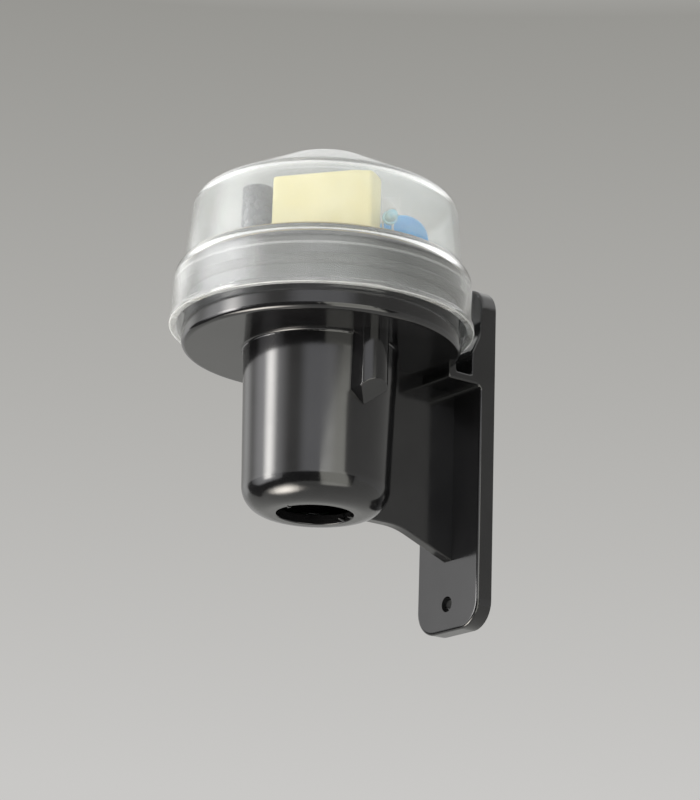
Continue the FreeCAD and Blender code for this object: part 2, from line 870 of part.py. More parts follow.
def bridge_rectifier():
    """A four pin rectifier with flat legs turned down at both sides."""
    body = block(bridge_size, bridge_at, 0)
    points, d = lead_table()["bridge"]
    solids = pins(points, d, bridge_size[2] / 2 + d / 2)
    for x, y in points:
        middle = (x + bridge_at[0]) / 2
        length = abs(x - bridge_at[0])
        solids.append(block((length, d, d), (middle, y), bridge_size[2] / 2 - d / 2))
    return layout(body.fuse(solids).removeSplitter())


def axial(at, d, length, leads, turn, waist=0.0):
    """A lying round part: a body, with larger ends where a waist is given, and two bent leads."""
    r = d / 2
    cap = length / 5
    outline = [(0, -length / 2, 0), (r, -length / 2, r / 3)]
    if waist:
        outline += [(r, cap - length / 2, 0), (r - waist, cap - length / 2 + waist, 0)]
        outline += [(r - waist, length / 2 - cap - waist, 0), (r, length / 2 - cap, 0)]
    outline += [(r, length / 2, r / 3), (0, length / 2, 0)]
    body = turned(outline)
    body.rotate(V(0, 0, 0), V(0, 1, 0), 90)
    body.rotate(V(0, 0, 0), V(0, 0, 1), turn)
    height = r
    body.translate(V(at[0], at[1], height))
    points, lead_d = leads
    middle = V(at[0], at[1], height)
    solids = []
    for x, y in points:
        corner = V(x, y, height)
        inward = (middle - corner).normalize()
        start = middle - inward * (length / 2 - 0.3)
        solids.append(bent_lead(lead_d, start, corner, V(x, y, -board_t - pin_out), 0.8))
    return layout(body.fuse(solids).removeSplitter())


def zener_diode():
    return axial(zener_at, diode_d, diode_length, lead_table()["zener"], 90)


def flyback_diode():
    return axial(flyback_at, diode_d, diode_length, lead_table()["flyback"], 90)


def inrush_resistor():
    return axial(inrush_at, inrush_d, inrush_length, lead_table()["inrush"], 90, 0.25)


def bleed_resistor():
    return axial(bleed_at, resistor_d, resistor_length, lead_table()["bleed"], 0, 0.2)


def bias_resistor():
    return axial(bias_at, resistor_d, resistor_length, lead_table()["bias"], 0, 0.2)


def driver_transistor():
    """A small three legged transistor with a flat front."""
    body = rod(2 * transistor_r, 0, transistor_h)
    flat = block((4 * transistor_r, 2 * transistor_r, transistor_h), (0, transistor_r + transistor_flat), 0)
    body = body.cut(flat)
    body.translate(V(transistor_at[0], transistor_at[1], transistor_rise))
    points, d = lead_table()["transistor"]
    return layout(body.fuse(pins(points, d, transistor_rise + 1)).removeSplitter())


def clamp_low():
    return clamp_rise


def clamp_top():
    return clamp_rise + clamp_size[2]


def terminal_block():
    """The wiring block: one wire mouth and one screw well for each way."""
    length = terminal_ways * terminal_pitch
    front = terminal_at[1] - terminal_depth / 2
    back = terminal_at[1] + terminal_depth / 2
    outline = [
        (front, 0, 0),
        (back, 0, 0),
        (back, terminal_h - terminal_step, 0),
        (back - terminal_step, terminal_h, 0),
        (front + terminal_step, terminal_h, 0),
        (front, terminal_h - terminal_step, 0),
    ]
    body = across(outline, length)
    body.translate(V(terminal_at[0], 0, 0))
    room = [size + 2 * clamp_play for size in clamp_size]
    cuts = []
    for x, y in terminal_ways_at():
        cuts.append(block(room, (x, y), clamp_low() - clamp_play))
        mouth = (room[0] - 1, terminal_depth, room[2] - 2)
        cuts.append(block(mouth, (x, y - terminal_depth / 2), clamp_low() + 1))
        cuts.append(rod(clamp_head_d + 4 * clamp_play, clamp_top(), terminal_h + 1, x, y))
        cuts.append(rod(relay_pin_d + 2 * pin_play, -1, clamp_rise, x, y))
    return layout(body.cut(Part.makeCompound(cuts)))


def terminal_clamp(x, y):
    """One clamp: a square cage open along the wire, threaded on top, with its pin below."""
    cage = block(clamp_size, (x, y), clamp_low())
    window = (clamp_size[0] - 2 * clamp_wall, 2 * clamp_size[1], clamp_size[2] - 2 * clamp_wall)
    cage = cage.cut(block(window, (x, y), clamp_low() + clamp_wall))
    cage = cage.cut(rod(clamp_screw_d, clamp_low() + clamp_wall, clamp_top() + 1, x, y))
    return cage.fuse(rod(relay_pin_d, -board_t - pin_out, clamp_low(), x, y))


def terminal_clamps():
    return layout(Part.makeCompound([terminal_clamp(x, y) for x, y in terminal_ways_at()]))


def terminal_screw(x, y):
    """A slotted screw, backed off so that its clamp is open."""
    low = clamp_top() + clamp_play
    shank = rod(clamp_screw_d - 2 * screw_play, low + 0.1 - clamp_screw_length / 2, low + 0.1, x, y)
    head = rod(clamp_head_d, low, low + clamp_head_h, x, y)
    slot = block((2 * clamp_head_d, 0.7, clamp_head_h), (x, y), low + clamp_head_h / 2)
    return head.fuse(shank).cut(slot).removeSplitter()


def terminal_screws():
    return layout(Part.makeCompound([terminal_screw(x, y) for x, y in terminal_ways_at()]))


pieces = {
    "housing": housing,
    "dome_cover": dome_cover,
    "cover_seal": cover_seal,
    "circuit_board": circuit_board,
    "board_screws": board_screws,
    "film_capacitor": film_capacitor,
    "electrolytic_capacitor": electrolytic_capacitor,
    "varistor": varistor,
    "light_sensor": light_sensor,
    "relay": relay,
    "bridge_rectifier": bridge_rectifier,
    "zener_diode": zener_diode,
    "flyback_diode": flyback_diode,
    "inrush_resistor": inrush_resistor,
    "bleed_resistor": bleed_resistor,
    "bias_resistor": bias_resistor,
    "driver_transistor": driver_transistor,
    "filter_capacitor": filter_capacitor,
    "terminal_block": terminal_block,
    "terminal_clamps": terminal_clamps,
    "terminal_screws": terminal_screws,
}

os.makedirs("parts", exist_ok=True)
for name, make in pieces.items():
    shape = make()
    shape.translate(V(0, -axis_to_wall, frame_height))
    shape.exportStep("parts/" + name + ".step")
    print(name, len(shape.Solids), round(shape.Volume, 1), shape.isValid())
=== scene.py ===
import math

import bmesh
import bpy
from mathutils import Matrix, Vector


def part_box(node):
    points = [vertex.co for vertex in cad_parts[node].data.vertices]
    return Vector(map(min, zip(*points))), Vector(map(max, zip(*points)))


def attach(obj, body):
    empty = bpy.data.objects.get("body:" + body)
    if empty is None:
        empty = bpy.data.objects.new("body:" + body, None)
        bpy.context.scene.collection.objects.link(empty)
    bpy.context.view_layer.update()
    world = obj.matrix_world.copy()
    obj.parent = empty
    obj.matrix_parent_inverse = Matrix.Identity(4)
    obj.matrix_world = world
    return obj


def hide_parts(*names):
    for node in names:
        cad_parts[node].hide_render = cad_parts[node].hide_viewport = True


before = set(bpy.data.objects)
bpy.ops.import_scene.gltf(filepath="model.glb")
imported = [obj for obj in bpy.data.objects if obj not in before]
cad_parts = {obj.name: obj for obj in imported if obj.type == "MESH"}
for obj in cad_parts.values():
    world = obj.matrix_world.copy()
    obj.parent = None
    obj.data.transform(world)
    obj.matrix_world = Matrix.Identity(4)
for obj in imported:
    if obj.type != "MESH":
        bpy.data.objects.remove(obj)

for spare in ("Cube", "Light", "Camera"):
    if spare in bpy.data.objects:
        bpy.data.objects.remove(bpy.data.objects[spare])
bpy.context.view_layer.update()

# Pieces are drawn in millimetres and placed in metres. The stem's axis meets the clear skirt's
# rim at stemAxis, and the parts on the board are laid out on axes turned about it.
mm = 0.001
stemAxis = Vector((0, -48.1, 26.6))
boardTop = 16.6
boardThickness = 1.6
boardTurn = math.radians(36)
rimPlace = Matrix.Scale(mm, 4) @ Matrix.Translation(stemAxis)
boardPlace = rimPlace @ Matrix.Translation((0, 0, boardTop)) @ Matrix.Rotation(boardTurn, 4, "Z")
fourCorners = ((-1, -1), (1, -1), (1, 1), (-1, 1))


def linear(code, alpha=1.0):
    # sRGB hex to linear colour
    parts = [int(code[i : i + 2], 16) / 255 for i in (1, 3, 5)]
    return [p / 12.92 if p <= 0.04045 else ((p + 0.055) / 1.055) ** 2.4 for p in parts] + [alpha]


def addNode(tree, kind, settings=None, links=None):
    node = tree.nodes.new(kind)
    for name, value in (settings or {}).items():
        if isinstance(name, int) or name in node.inputs:
            node.inputs[name].default_value = value
        else:
            setattr(node, name, value)
    for name, socket in (links or {}).items():
        tree.links.new(socket, node.inputs[name])
    return node


# Materials

noise = {
    "toneSpan": (0.35, 0.65),  # the part of the noise over which the two colours change
    "toneDetail": 3.0,
    "glossSpan": (0.3, 0.7),  # and over which the two roughnesses do
    "glossDetail": 4.0,
    "skinDetail": 2.0,
}


def surface(name, look, settings=None):
    # A made surface. Its tone is two colours and the size of their drift, its gloss is two
    # roughnesses and the size of their smears, and its skin is the size and depth of the grain,
    # all in millimetres. Real grain finer than about 0.1 mm wouldn't show, so it is drawn coarser.
    material = bpy.data.materials.new(name)
    material.use_nodes = True
    tree = material.node_tree
    tree.nodes.clear()
    shader = addNode(tree, "ShaderNodeBsdfPrincipled", settings)
    addNode(tree, "ShaderNodeOutputMaterial", {}, {"Surface": shader.outputs[0]})
    spot = addNode(tree, "ShaderNodeTexCoord").outputs["Object"]

    *codes, driftSize = look["tone"]
    driftValues = {"Scale": 1000 / driftSize, "Detail": noise["toneDetail"]}
    drift = addNode(tree, "ShaderNodeTexNoise", driftValues, {"Vector": spot})
    tone = addNode(tree, "ShaderNodeValToRGB", {}, {"Fac": drift.outputs["Fac"]})
    for element, position, code in zip(tone.color_ramp.elements, noise["toneSpan"], codes):
        element.position = position
        element.color = linear(code)
    tree.links.new(tone.outputs["Color"], shader.inputs["Base Color"])

    smoothest, roughest, smearSize = look["gloss"]
    smearValues = {"Scale": 1000 / smearSize, "Detail": noise["glossDetail"]}
    smear = addNode(tree, "ShaderNodeTexNoise", smearValues, {"Vector": spot})
    gloss = addNode(
        tree,
        "ShaderNodeMapRange",
        {
            "From Min": noise["glossSpan"][0],
            "From Max": noise["glossSpan"][1],
            "To Min": smoothest,
            "To Max": roughest,
        },
        {"Value": smear.outputs["Fac"]},
    )
    tree.links.new(gloss.outputs["Result"], shader.inputs["Roughness"])

    grainSize, grainDepth = look["skin"]
    grainValues = {"Scale": 1000 / grainSize, "Detail": noise["skinDetail"]}
    grain = addNode(tree, "ShaderNodeTexNoise", grainValues, {"Vector": spot})
    skinValues = {"Strength": 1.0, "Distance": grainDepth * mm}
    skin = addNode(tree, "ShaderNodeBump", skinValues, {"Height": grain.outputs["Fac"]})
    tree.links.new(skin.outputs["Normal"], shader.inputs["Normal"])
    return material


def banded(name, look, bands, settings=None):
    # A round body with painted bands: each is its middle and width along the body, and its colour
    material = surface(name, look, settings)
    tree = material.node_tree
    base = tree.nodes["Principled BSDF"].inputs["Base Color"]
    along = addNode(tree, "ShaderNodeAttribute", {"attribute_name": "along"}).outputs["Fac"]
    colour = base.links[0].from_socket
    for middle, width, code in bands:
        inside = addNode(tree, "ShaderNodeMath", {"operation": "COMPARE", 1: middle, 2: width / 2}, {0: along})
        paint = addNode(
            tree,
            "ShaderNodeMix",
            {"data_type": "RGBA", 7: linear(code)},
            {"Factor": inside.outputs[0], 6: colour},
        )
        colour = paint.outputs[2]
    tree.links.new(colour, base)
    return material


# Polycarbonate moulded in a polished tool: near black, a wet-looking gloss with a faint unevenness
shellLook = {"tone": ("#101011", "#171718", 14), "gloss": (0.11, 0.17, 6), "skin": (2.4, 0.0015)}
blackShell = surface("mouldedBlackPolycarbonate", shellLook, {"IOR": 1.585})

# Clear polycarbonate, moulded thick: water-clear with a faint milky veil. The veil takes clearness
# away by height on the skirt, and by side and height on the dome. Its changes paint light and shade:
# the dome brighter on its side away from the camera and at its top, the skirt darker on the side to
# the camera's right, and a painted highlight along the rim.
coverLook = {"tone": ("#F1F3F3", "#F9FAFA", 20), "gloss": (0.02, 0.05, 9), "skin": (9, 0.002)}
veilAndPaintedLight = {
    # Millimetres up the skirt and clearness there, with a faint line at the hooks' tops
    "rows": [
        (0.0, 0.9),
        (10.6, 0.9),
        (10.75, 0.75),
        (10.95, 0.75),
        (11.1, 0.9),
        (12.3, 0.9),
        (12.7, 0.95),
        (13, 0.95),
    ],
    # The rest are changes: where each starts and ends in millimetres, and its values there
    "dome": (-35.4, 29.7, 0.93, 0.78),  # painted light: clearness across the dome, lower and so brighter on the side away from the camera
    "paintedTopLight": (30, 42, 0.0, 0.06),  # painted light: clearness lost towards the dome's top, which shows brighter
    "paintedSkirtShade": (6, 20, 0.0, 0.045),  # painted shade: clearness gained on the skirt's side to the camera's right, which shows darker
    "rimEdge": (39.45, 39.7, 0.35, 1.0),  # how much of the rim's painted highlight a radius gets
    "rim": (0, 0.3, 0.3, 0.0),  # painted highlight: clearness lost at the rim, a fine white line
    "shoulder": (15.8, 18.6, 0.0, 1.0),  # heights over which the skirt turns into the dome
    "eased": ("dome", "paintedSkirtShade"),
    # The way along which the dome's painted light grows
    "paintedLightWay": (-0.5, 0.866, 0),
    # The way along which the skirt's painted shade grows, the camera's right
    "paintedShadeWay": (0.591, 0.806, 0),
    "shadow": "#E9ECEC",  # light that the cover lets through to what it shades
}
veilAndPaintedLight["skirt"] = (0, veilAndPaintedLight["rows"][-1][0], 0.0, 1.0)
clearCoat = surface("mouldedClearPolycarbonate", coverLook, {"IOR": 1.585})
clearTree = clearCoat.node_tree
clearShader = clearTree.nodes["Principled BSDF"]
objectSpot = addNode(clearTree, "ShaderNodeTexCoord").outputs["Object"]
coverSpot = addNode(
    clearTree, "ShaderNodeVectorMath", {"operation": "SUBTRACT", 1: tuple(stemAxis * mm)}, {0: objectSpot}
).outputs["Vector"]
height = addNode(clearTree, "ShaderNodeSeparateXYZ", {}, {"Vector": coverSpot}).outputs["Z"]
plan = addNode(clearTree, "ShaderNodeVectorMath", {"operation": "MULTIPLY", 1: (1, 1, 0)}, {0: coverSpot})
radius = addNode(clearTree, "ShaderNodeVectorMath", {"operation": "LENGTH"}, {0: plan.outputs["Vector"]})
# Painted light: the dome's veil thickens, and shows brighter, along this way
paintedLightSide = addNode(
    clearTree, "ShaderNodeVectorMath", {"operation": "DOT_PRODUCT", 1: veilAndPaintedLight["paintedLightWay"]}, {0: coverSpot}
)
# Painted shade: the skirt clears, and shows darker, along this way
paintedShadeSide = addNode(
    clearTree, "ShaderNodeVectorMath", {"operation": "DOT_PRODUCT", 1: veilAndPaintedLight["paintedShadeWay"]}, {0: coverSpot}
)
measures = {
    "skirt": height,
    "dome": paintedLightSide.outputs["Value"],
    "paintedTopLight": height,
    "paintedSkirtShade": paintedShadeSide.outputs["Value"],
    "rimEdge": radius.outputs["Value"],
    "rim": height,
    "shoulder": height,
}
changes = {}
for label, measure in measures.items():
    starts, ends, first, last = veilAndPaintedLight[label]
    ease = "SMOOTHSTEP" if label in veilAndPaintedLight["eased"] else "LINEAR"
    change = addNode(
        clearTree,
        "ShaderNodeMapRange",
        {"interpolation_type": ease, "From Min": starts * mm, "From Max": ends * mm, "To Min": first, "To Max": last},
        {"Value": measure},
    )
    changes[label] = change.outputs["Result"]
rowTone = addNode(clearTree, "ShaderNodeValToRGB", {}, {"Fac": changes["skirt"]})
while len(rowTone.color_ramp.elements) < len(veilAndPaintedLight["rows"]):
    rowTone.color_ramp.elements.new(0.5)
for element, (rowHeight, clearness) in zip(rowTone.color_ramp.elements, veilAndPaintedLight["rows"]):
    element.position = rowHeight / veilAndPaintedLight["skirt"][1]
    element.color = (clearness, clearness, clearness, 1)
domeClear = addNode(
    clearTree, "ShaderNodeMath", {"operation": "SUBTRACT"}, {0: changes["dome"], 1: changes["paintedTopLight"]}
)
rowClear = addNode(
    clearTree, "ShaderNodeMath", {"operation": "ADD"}, {0: rowTone.outputs["Color"], 1: changes["paintedSkirtShade"]}
)
# Painted highlight: the skirt's lower outer edge is hazed to a fine white line
paintedRimHighlight = addNode(
    clearTree, "ShaderNodeMath", {"operation": "MULTIPLY"}, {0: changes["rimEdge"], 1: changes["rim"]}
)
skirtClear = addNode(
    clearTree, "ShaderNodeMath", {"operation": "SUBTRACT"}, {0: rowClear.outputs[0], 1: paintedRimHighlight.outputs[0]}
)
clearShare = addNode(
    clearTree,
    "ShaderNodeMix",
    {"data_type": "FLOAT"},
    {"Factor": changes["shoulder"], 2: skirtClear.outputs[0], 3: domeClear.outputs[0]},
)
clearTree.links.new(clearShare.outputs[0], clearShader.inputs["Transmission Weight"])
shadowPath = addNode(clearTree, "ShaderNodeLightPath")
letThrough = addNode(clearTree, "ShaderNodeBsdfTransparent", {"Color": linear(veilAndPaintedLight["shadow"])})
clearMix = addNode(
    clearTree,
    "ShaderNodeMixShader",
    {},
    {0: shadowPath.outputs["Is Shadow Ray"], 1: clearShader.outputs[0], 2: letThrough.outputs[0]},
)
clearTree.links.new(clearMix.outputs[0], clearTree.nodes["Material Output"].inputs["Surface"])

# Nitrile rubber from a matt mould: dark, dry, finely grained, the grain drawn coarser to show
sealLook = {"tone": ("#1B1B1C", "#262627", 5), "gloss": (0.55, 0.75, 2), "skin": (0.25, 0.01)}
sealRubber = surface("mouldedNitrileRubber", sealLook)

# Paper phenolic laminate: tan and satin on top, punched edges, green mask below. Its paper
# fibres, some 0.03 mm thick, are drawn at 0.3 mm.
boardLook = {
    "tone": ("#8D7544", "#A58B55", 3),
    "gloss": (0.38, 0.5, 2),
    "skin": (0.3, 0.006),
    "mask": "#1F5A36",
    "maskBelow": -0.5,  # faces that look further down than this are masked
}
laminate = surface("paperPhenolicLaminate", boardLook)
laminateTree = laminate.node_tree
laminateBase = laminateTree.nodes["Principled BSDF"].inputs["Base Color"]
facing = addNode(laminateTree, "ShaderNodeNewGeometry").outputs["Normal"]
facingUp = addNode(laminateTree, "ShaderNodeSeparateXYZ", {}, {"Vector": facing}).outputs["Z"]
underside = addNode(
    laminateTree, "ShaderNodeMath", {"operation": "LESS_THAN", 1: boardLook["maskBelow"]}, {0: facingUp}
)
masked = addNode(
    laminateTree,
    "ShaderNodeMix",
    {"data_type": "RGBA", 7: linear(boardLook["mask"])},
    {"Factor": underside.outputs[0], 6: laminateBase.links[0].from_socket},
)
laminateTree.links.new(masked.outputs[2], laminateBase)

# Zinc plated steel: pale grey with a soft, slightly patchy shine. The plating's grain, about
# 0.02 mm, is drawn at 0.2 mm.
zincLook = {"tone": ("#B9BABA", "#CFCFCC", 1.5), "gloss": (0.25, 0.42, 0.8), "skin": (0.2, 0.003)}
zincSteel = surface("zincPlatedSteel", zincLook, {"Metallic": 1.0})

# Flame retardant case of the film capacitor: butter yellow, satin from a spark-eroded mould,
# whose 0.05 mm pits are drawn at 0.3 mm
creamLook = {"tone": ("#E3D79C", "#E9DFAE", 8), "gloss": (0.42, 0.55, 1.5), "skin": (0.3, 0.006)}
creamCase = surface("mouldedCreamPolyester", creamLook, {"IOR": 1.5})

# Plastic sleeve shrunk over the can: dark and glossy, with the ripples of shrinking
sleeveLook = {"tone": ("#0D0E11", "#26282E", 4), "gloss": (0.22, 0.36, 1.6), "skin": (1.4, 0.05)}
canSleeve = surface("shrunkVinylSleeve", sleeveLook, {"IOR": 1.54})

# Aluminium drawn to a can: pale silver with a soft sheen. Its fine draw marks are drawn coarser.
canLook = {"tone": ("#C3C5C7", "#D6D7D8", 1.2), "gloss": (0.28, 0.4, 0.5), "skin": (0.15, 0.004)}
canMetal = surface("drawnAluminium", canLook, {"Metallic": 1.0})

# Epoxy powder dipped over the varistor's disc: a soft blue with a slightly lumpy skin
blueLook = {"tone": ("#009AE8", "#08A6F0", 3), "gloss": (0.3, 0.42, 1.2), "skin": (1.1, 0.05)}
blueDip = surface("dippedBlueEpoxy", blueLook, {"IOR": 1.55})

# Epoxy cast clear round the sensor's chip: glassy, with a pale blue green tint
castLook = {"tone": ("#9DE2F8", "#C6F2FE", 1), "gloss": (0.04, 0.08, 0.8), "skin": (0.8, 0.002)}
clearCast = surface("castSensorEpoxy", castLook, {"IOR": 1.53, "Transmission Weight": 0.4})

# Relay case: black nylon from a fine matt mould, the 0.05 mm grain drawn at 0.22 mm
relayLook = {"tone": ("#101011", "#19191A", 5), "gloss": (0.4, 0.52, 2), "skin": (0.22, 0.008)}
relayCase = surface("mouldedBlackNylon", relayLook)

# Transfer moulded epoxy: charcoal and dull, the filler's grain drawn coarser. The diode's has a
# painted ring at the cathode.
epoxyLook = {"tone": ("#18181A", "#222224", 1.5), "gloss": (0.5, 0.62, 0.7), "skin": (0.12, 0.006)}
cathode = (1.6, 0.7)
blackEpoxy = surface("transferMouldedEpoxy", epoxyLook)
flybackBody = banded("transferMouldedEpoxyBanded", epoxyLook, [(*cathode, "#C9CACB")])

# Glass bead fired round the zener's chip: amber and glassy, a black ring at the cathode
glassLook = {"tone": ("#A65A26", "#C4763A", 0.9), "gloss": (0.08, 0.14, 0.7), "skin": (0.6, 0.004)}
zenerGlass = banded("firedGlassBead", glassLook, [(*cathode, "#151515")], {"IOR": 1.52})

# Flameproof cement on the wirewound resistor: grey green, dry and chalky, its sandy grain of
# about 0.05 mm drawn at 0.2 mm
cementLook = {"tone": ("#5E7560", "#6F8570", 1.2), "gloss": (0.62, 0.78, 0.6), "skin": (0.2, 0.02)}
cementBands = [(-2.6, 0.9, "#6B3A1E"), (-0.9, 0.9, "#171717"), (0.8, 0.9, "#171717"), (2.9, 0.9, "#B8923A")]
cementCoat = banded("flameproofCement", cementLook, cementBands)

# Lacquer on the film resistors: smooth with a low sheen, beige or rose, with painted rings
lacquerSkin = {"gloss": (0.28, 0.38, 0.6), "skin": (0.4, 0.008)}
ringPlaces = [(-1.9, 0.55), (-0.8, 0.55), (0.3, 0.55), (1.9, 0.55)]
beigeRings = [(*at, code) for at, code in zip(ringPlaces, ("#8C1F1A", "#5C3A9A", "#C6641C", "#B8923A"))]
roseRings = [(*at, code) for at, code in zip(ringPlaces, ("#5A3216", "#171717", "#C9B22E", "#B8923A"))]
beigeLook = {"tone": ("#C7A877", "#D4B788", 1.0), **lacquerSkin}
roseLook = {"tone": ("#D79A86", "#E0AB96", 1.0), **lacquerSkin}
beigeLacquer = banded("lacqueredResistorCoat", beigeLook, beigeRings)
roseLacquer = banded("lacqueredResistorCoatRose", roseLook, roseRings)

# Phenolic resin dipped over the ceramic disc: orange brown, with an eggshell sheen
orangeLook = {"tone": ("#A85A22", "#BE6E30", 1.5), "gloss": (0.42, 0.55, 0.9), "skin": (0.5, 0.02)}
orangeDip = surface("dippedPhenolicCeramic", orangeLook)

# Polyamide of the terminal block: leaf green, satin, its mould grain drawn coarser
greenLook = {"tone": ("#1C6B3A", "#257A45", 6), "gloss": (0.34, 0.45, 2), "skin": (0.3, 0.006)}
greenNylon = surface("mouldedGreenPolyamide", greenLook)

# Tin plated on brass by the barrel: a warm silver, softly worn. Its fine grain is drawn coarser.
brassLook = {"tone": ("#C9C3AE", "#D8D3C2", 1.2), "gloss": (0.3, 0.42, 0.6), "skin": (0.2, 0.003)}
tinnedBrass = surface("tinPlatedBrass", brassLook, {"Metallic": 1.0})

# Tinned copper wire, drawn and bent: bright but soft, its draw marks drawn coarser
wireLook = {"tone": ("#CFCFCD", "#DEDEDC", 0.8), "gloss": (0.22, 0.34, 0.4), "skin": (0.15, 0.003)}
tinnedWire = surface("tinnedCopperWire", wireLook, {"Metallic": 1.0})

# Solder that has run and set: bright silver, faintly rippled
solderLook = {"tone": ("#BFC0C2", "#D9DADB", 0.7), "gloss": (0.14, 0.28, 0.4), "skin": (0.4, 0.01)}
solder = surface("wettedSolder", solderLook, {"Metallic": 1.0})

# Epoxy ink screened on the board: off-white and chalky, slightly broken by the mesh, whose
# 0.05 mm marks are drawn at 0.1 mm
inkLook = {"tone": ("#DAD9D0", "#E9E8E0", 0.4), "gloss": (0.5, 0.65, 0.3), "skin": (0.1, 0.003)}
legendInk = surface("screenedWhiteInk", inkLook)
print("materials", len(bpy.data.materials))


# Geometry Nodes trees


def newTree(name, inputs):
    tree = bpy.data.node_groups.new(name, "GeometryNodeTree")
    tree.interface.new_socket("Drawing", in_out="INPUT", socket_type="NodeSocketGeometry")
    for label, kind in inputs:
        tree.interface.new_socket(label, in_out="INPUT", socket_type="NodeSocket" + kind)
    tree.interface.new_socket("Result", in_out="OUTPUT", socket_type="NodeSocketGeometry")
    return tree, addNode(tree, "NodeGroupInput").outputs


def closeTree(tree, geometry, material):
    # Every tree ends here, in real geometry with its material
    real = addNode(tree, "GeometryNodeRealizeInstances", {}, {"Geometry": geometry})
    coated = addNode(tree, "GeometryNodeSetMaterial", {}, {"Geometry": real.outputs[0], "Material": material})
    addNode(tree, "NodeGroupOutput", {}, {"Result": coated.outputs[0]})
    return tree


def shadeByAngle(tree, geometry, angle):
    # Smooth, with a crease wherever faces meet at more than the angle
    smooth = addNode(
        tree, "GeometryNodeSetShadeSmooth", {"domain": "FACE", "Shade Smooth": True}, {"Geometry": geometry}
    )
    turn = addNode(tree, "GeometryNodeInputMeshEdgeAngle").outputs["Unsigned Angle"]
    sharp = addNode(
        tree, "FunctionNodeCompare", {"data_type": "FLOAT", "operation": "GREATER_THAN"}, {"A": turn, "B": angle}
    )
    return addNode(
        tree,
        "GeometryNodeSetShadeSmooth",
        {"domain": "EDGE", "Shade Smooth": False},
        {"Geometry": smooth.outputs[0], "Selection": sharp.outputs[0]},
    ).outputs[0]


def turnedTree():
    # A half outline carried round an axis, as on a lathe. The outline's place along the axis is
    # kept as the attribute along, for painted bands.
    inputs = [("Segments", "Int"), ("Crease Angle", "Float"), ("Material", "Material")]
    tree, given = newTree("turnedPiece", inputs)
    guide = 1.0  # radius of the circle that carries the outline, taken off again from its places
    weld = 0.0005  # closes the points on the axis
    outline = addNode(tree, "GeometryNodeMeshToCurve", {}, {"Mesh": given["Drawing"]})
    place = addNode(tree, "GeometryNodeInputPosition").outputs[0]
    parts = addNode(tree, "ShaderNodeSeparateXYZ", {}, {"Vector": place})
    noted = addNode(
        tree,
        "GeometryNodeStoreNamedAttribute",
        {"data_type": "FLOAT", "domain": "POINT", "Name": "along"},
        {"Geometry": outline.outputs[0], "Value": parts.outputs["Z"]},
    )
    out = addNode(tree, "ShaderNodeMath", {"operation": "SUBTRACT", 1: guide}, {0: parts.outputs["X"]})
    drop = addNode(tree, "ShaderNodeMath", {"operation": "MULTIPLY", 1: -1.0}, {0: parts.outputs["Z"]})
    flat = addNode(tree, "ShaderNodeCombineXYZ", {}, {"X": out.outputs[0], "Y": drop.outputs[0]})
    laid = addNode(tree, "GeometryNodeSetPosition", {}, {"Geometry": noted.outputs[0], "Position": flat.outputs[0]})
    ring = addNode(tree, "GeometryNodeCurvePrimitiveCircle", {"Radius": guide}, {"Resolution": given["Segments"]})
    swept = addNode(tree, "GeometryNodeCurveToMesh", {}, {"Curve": ring.outputs[0], "Profile Curve": laid.outputs[0]})
    closed = addNode(tree, "GeometryNodeMergeByDistance", {"Distance": weld}, {"Geometry": swept.outputs[0]})
    return closeTree(tree, shadeByAngle(tree, closed.outputs[0], given["Crease Angle"]), given["Material"])


def wireTree():
    # Round wire along a drawn path, with rounded bends
    inputs = [("Wire Radius", "Float"), ("Bend Radius", "Float"), ("Sides", "Int")]
    inputs += [("Crease Angle", "Float"), ("Material", "Material")]
    tree, given = newTree("bentWire", inputs)
    path = addNode(tree, "GeometryNodeMeshToCurve", {}, {"Mesh": given["Drawing"]})
    bent = addNode(
        tree,
        "GeometryNodeFilletCurve",
        {"mode": "POLY", "Count": 6, "Limit Radius": True},  # six points round each bend
        {"Curve": path.outputs[0], "Radius": given["Bend Radius"]},
    )
    section = addNode(
        tree,
        "GeometryNodeCurvePrimitiveCircle",
        {},
        {"Resolution": given["Sides"], "Radius": given["Wire Radius"]},
    )
    wire = addNode(
        tree,
        "GeometryNodeCurveToMesh",
        {"Fill Caps": True},
        {"Curve": bent.outputs[0], "Profile Curve": section.outputs[0]},
    )
    return closeTree(tree, shadeByAngle(tree, wire.outputs[0], given["Crease Angle"]), given["Material"])


def scatterTree():
    # One small piece set on every drawn point, each turned and sized a little differently
    inputs = [("Piece", "Object"), ("Unevenness", "Float"), ("Seed", "Int"), ("Material", "Material")]
    tree, given = newTree("setOnPoints", inputs)
    fullTurn = 6.283
    piece = addNode(tree, "GeometryNodeObjectInfo", {}, {"Object": given["Piece"]})
    turn = addNode(tree, "FunctionNodeRandomValue", {"data_type": "FLOAT", "Max": fullTurn}, {"Seed": given["Seed"]})
    spin = addNode(tree, "ShaderNodeCombineXYZ", {}, {"Z": turn.outputs[1]})
    low = addNode(tree, "ShaderNodeMath", {"operation": "SUBTRACT", 0: 1.0}, {1: given["Unevenness"]})
    high = addNode(tree, "ShaderNodeMath", {"operation": "ADD", 0: 1.0}, {1: given["Unevenness"]})
    size = addNode(
        tree,
        "FunctionNodeRandomValue",
        {"data_type": "FLOAT"},
        {"Min": low.outputs[0], "Max": high.outputs[0], "Seed": given["Seed"]},
    )
    placed = addNode(
        tree,
        "GeometryNodeInstanceOnPoints",
        {},
        {
            "Points": given["Drawing"],
            "Instance": piece.outputs["Geometry"],
            "Rotation": spin.outputs[0],
            "Scale": size.outputs[1],
        },
    )
    return closeTree(tree, placed.outputs[0], given["Material"])


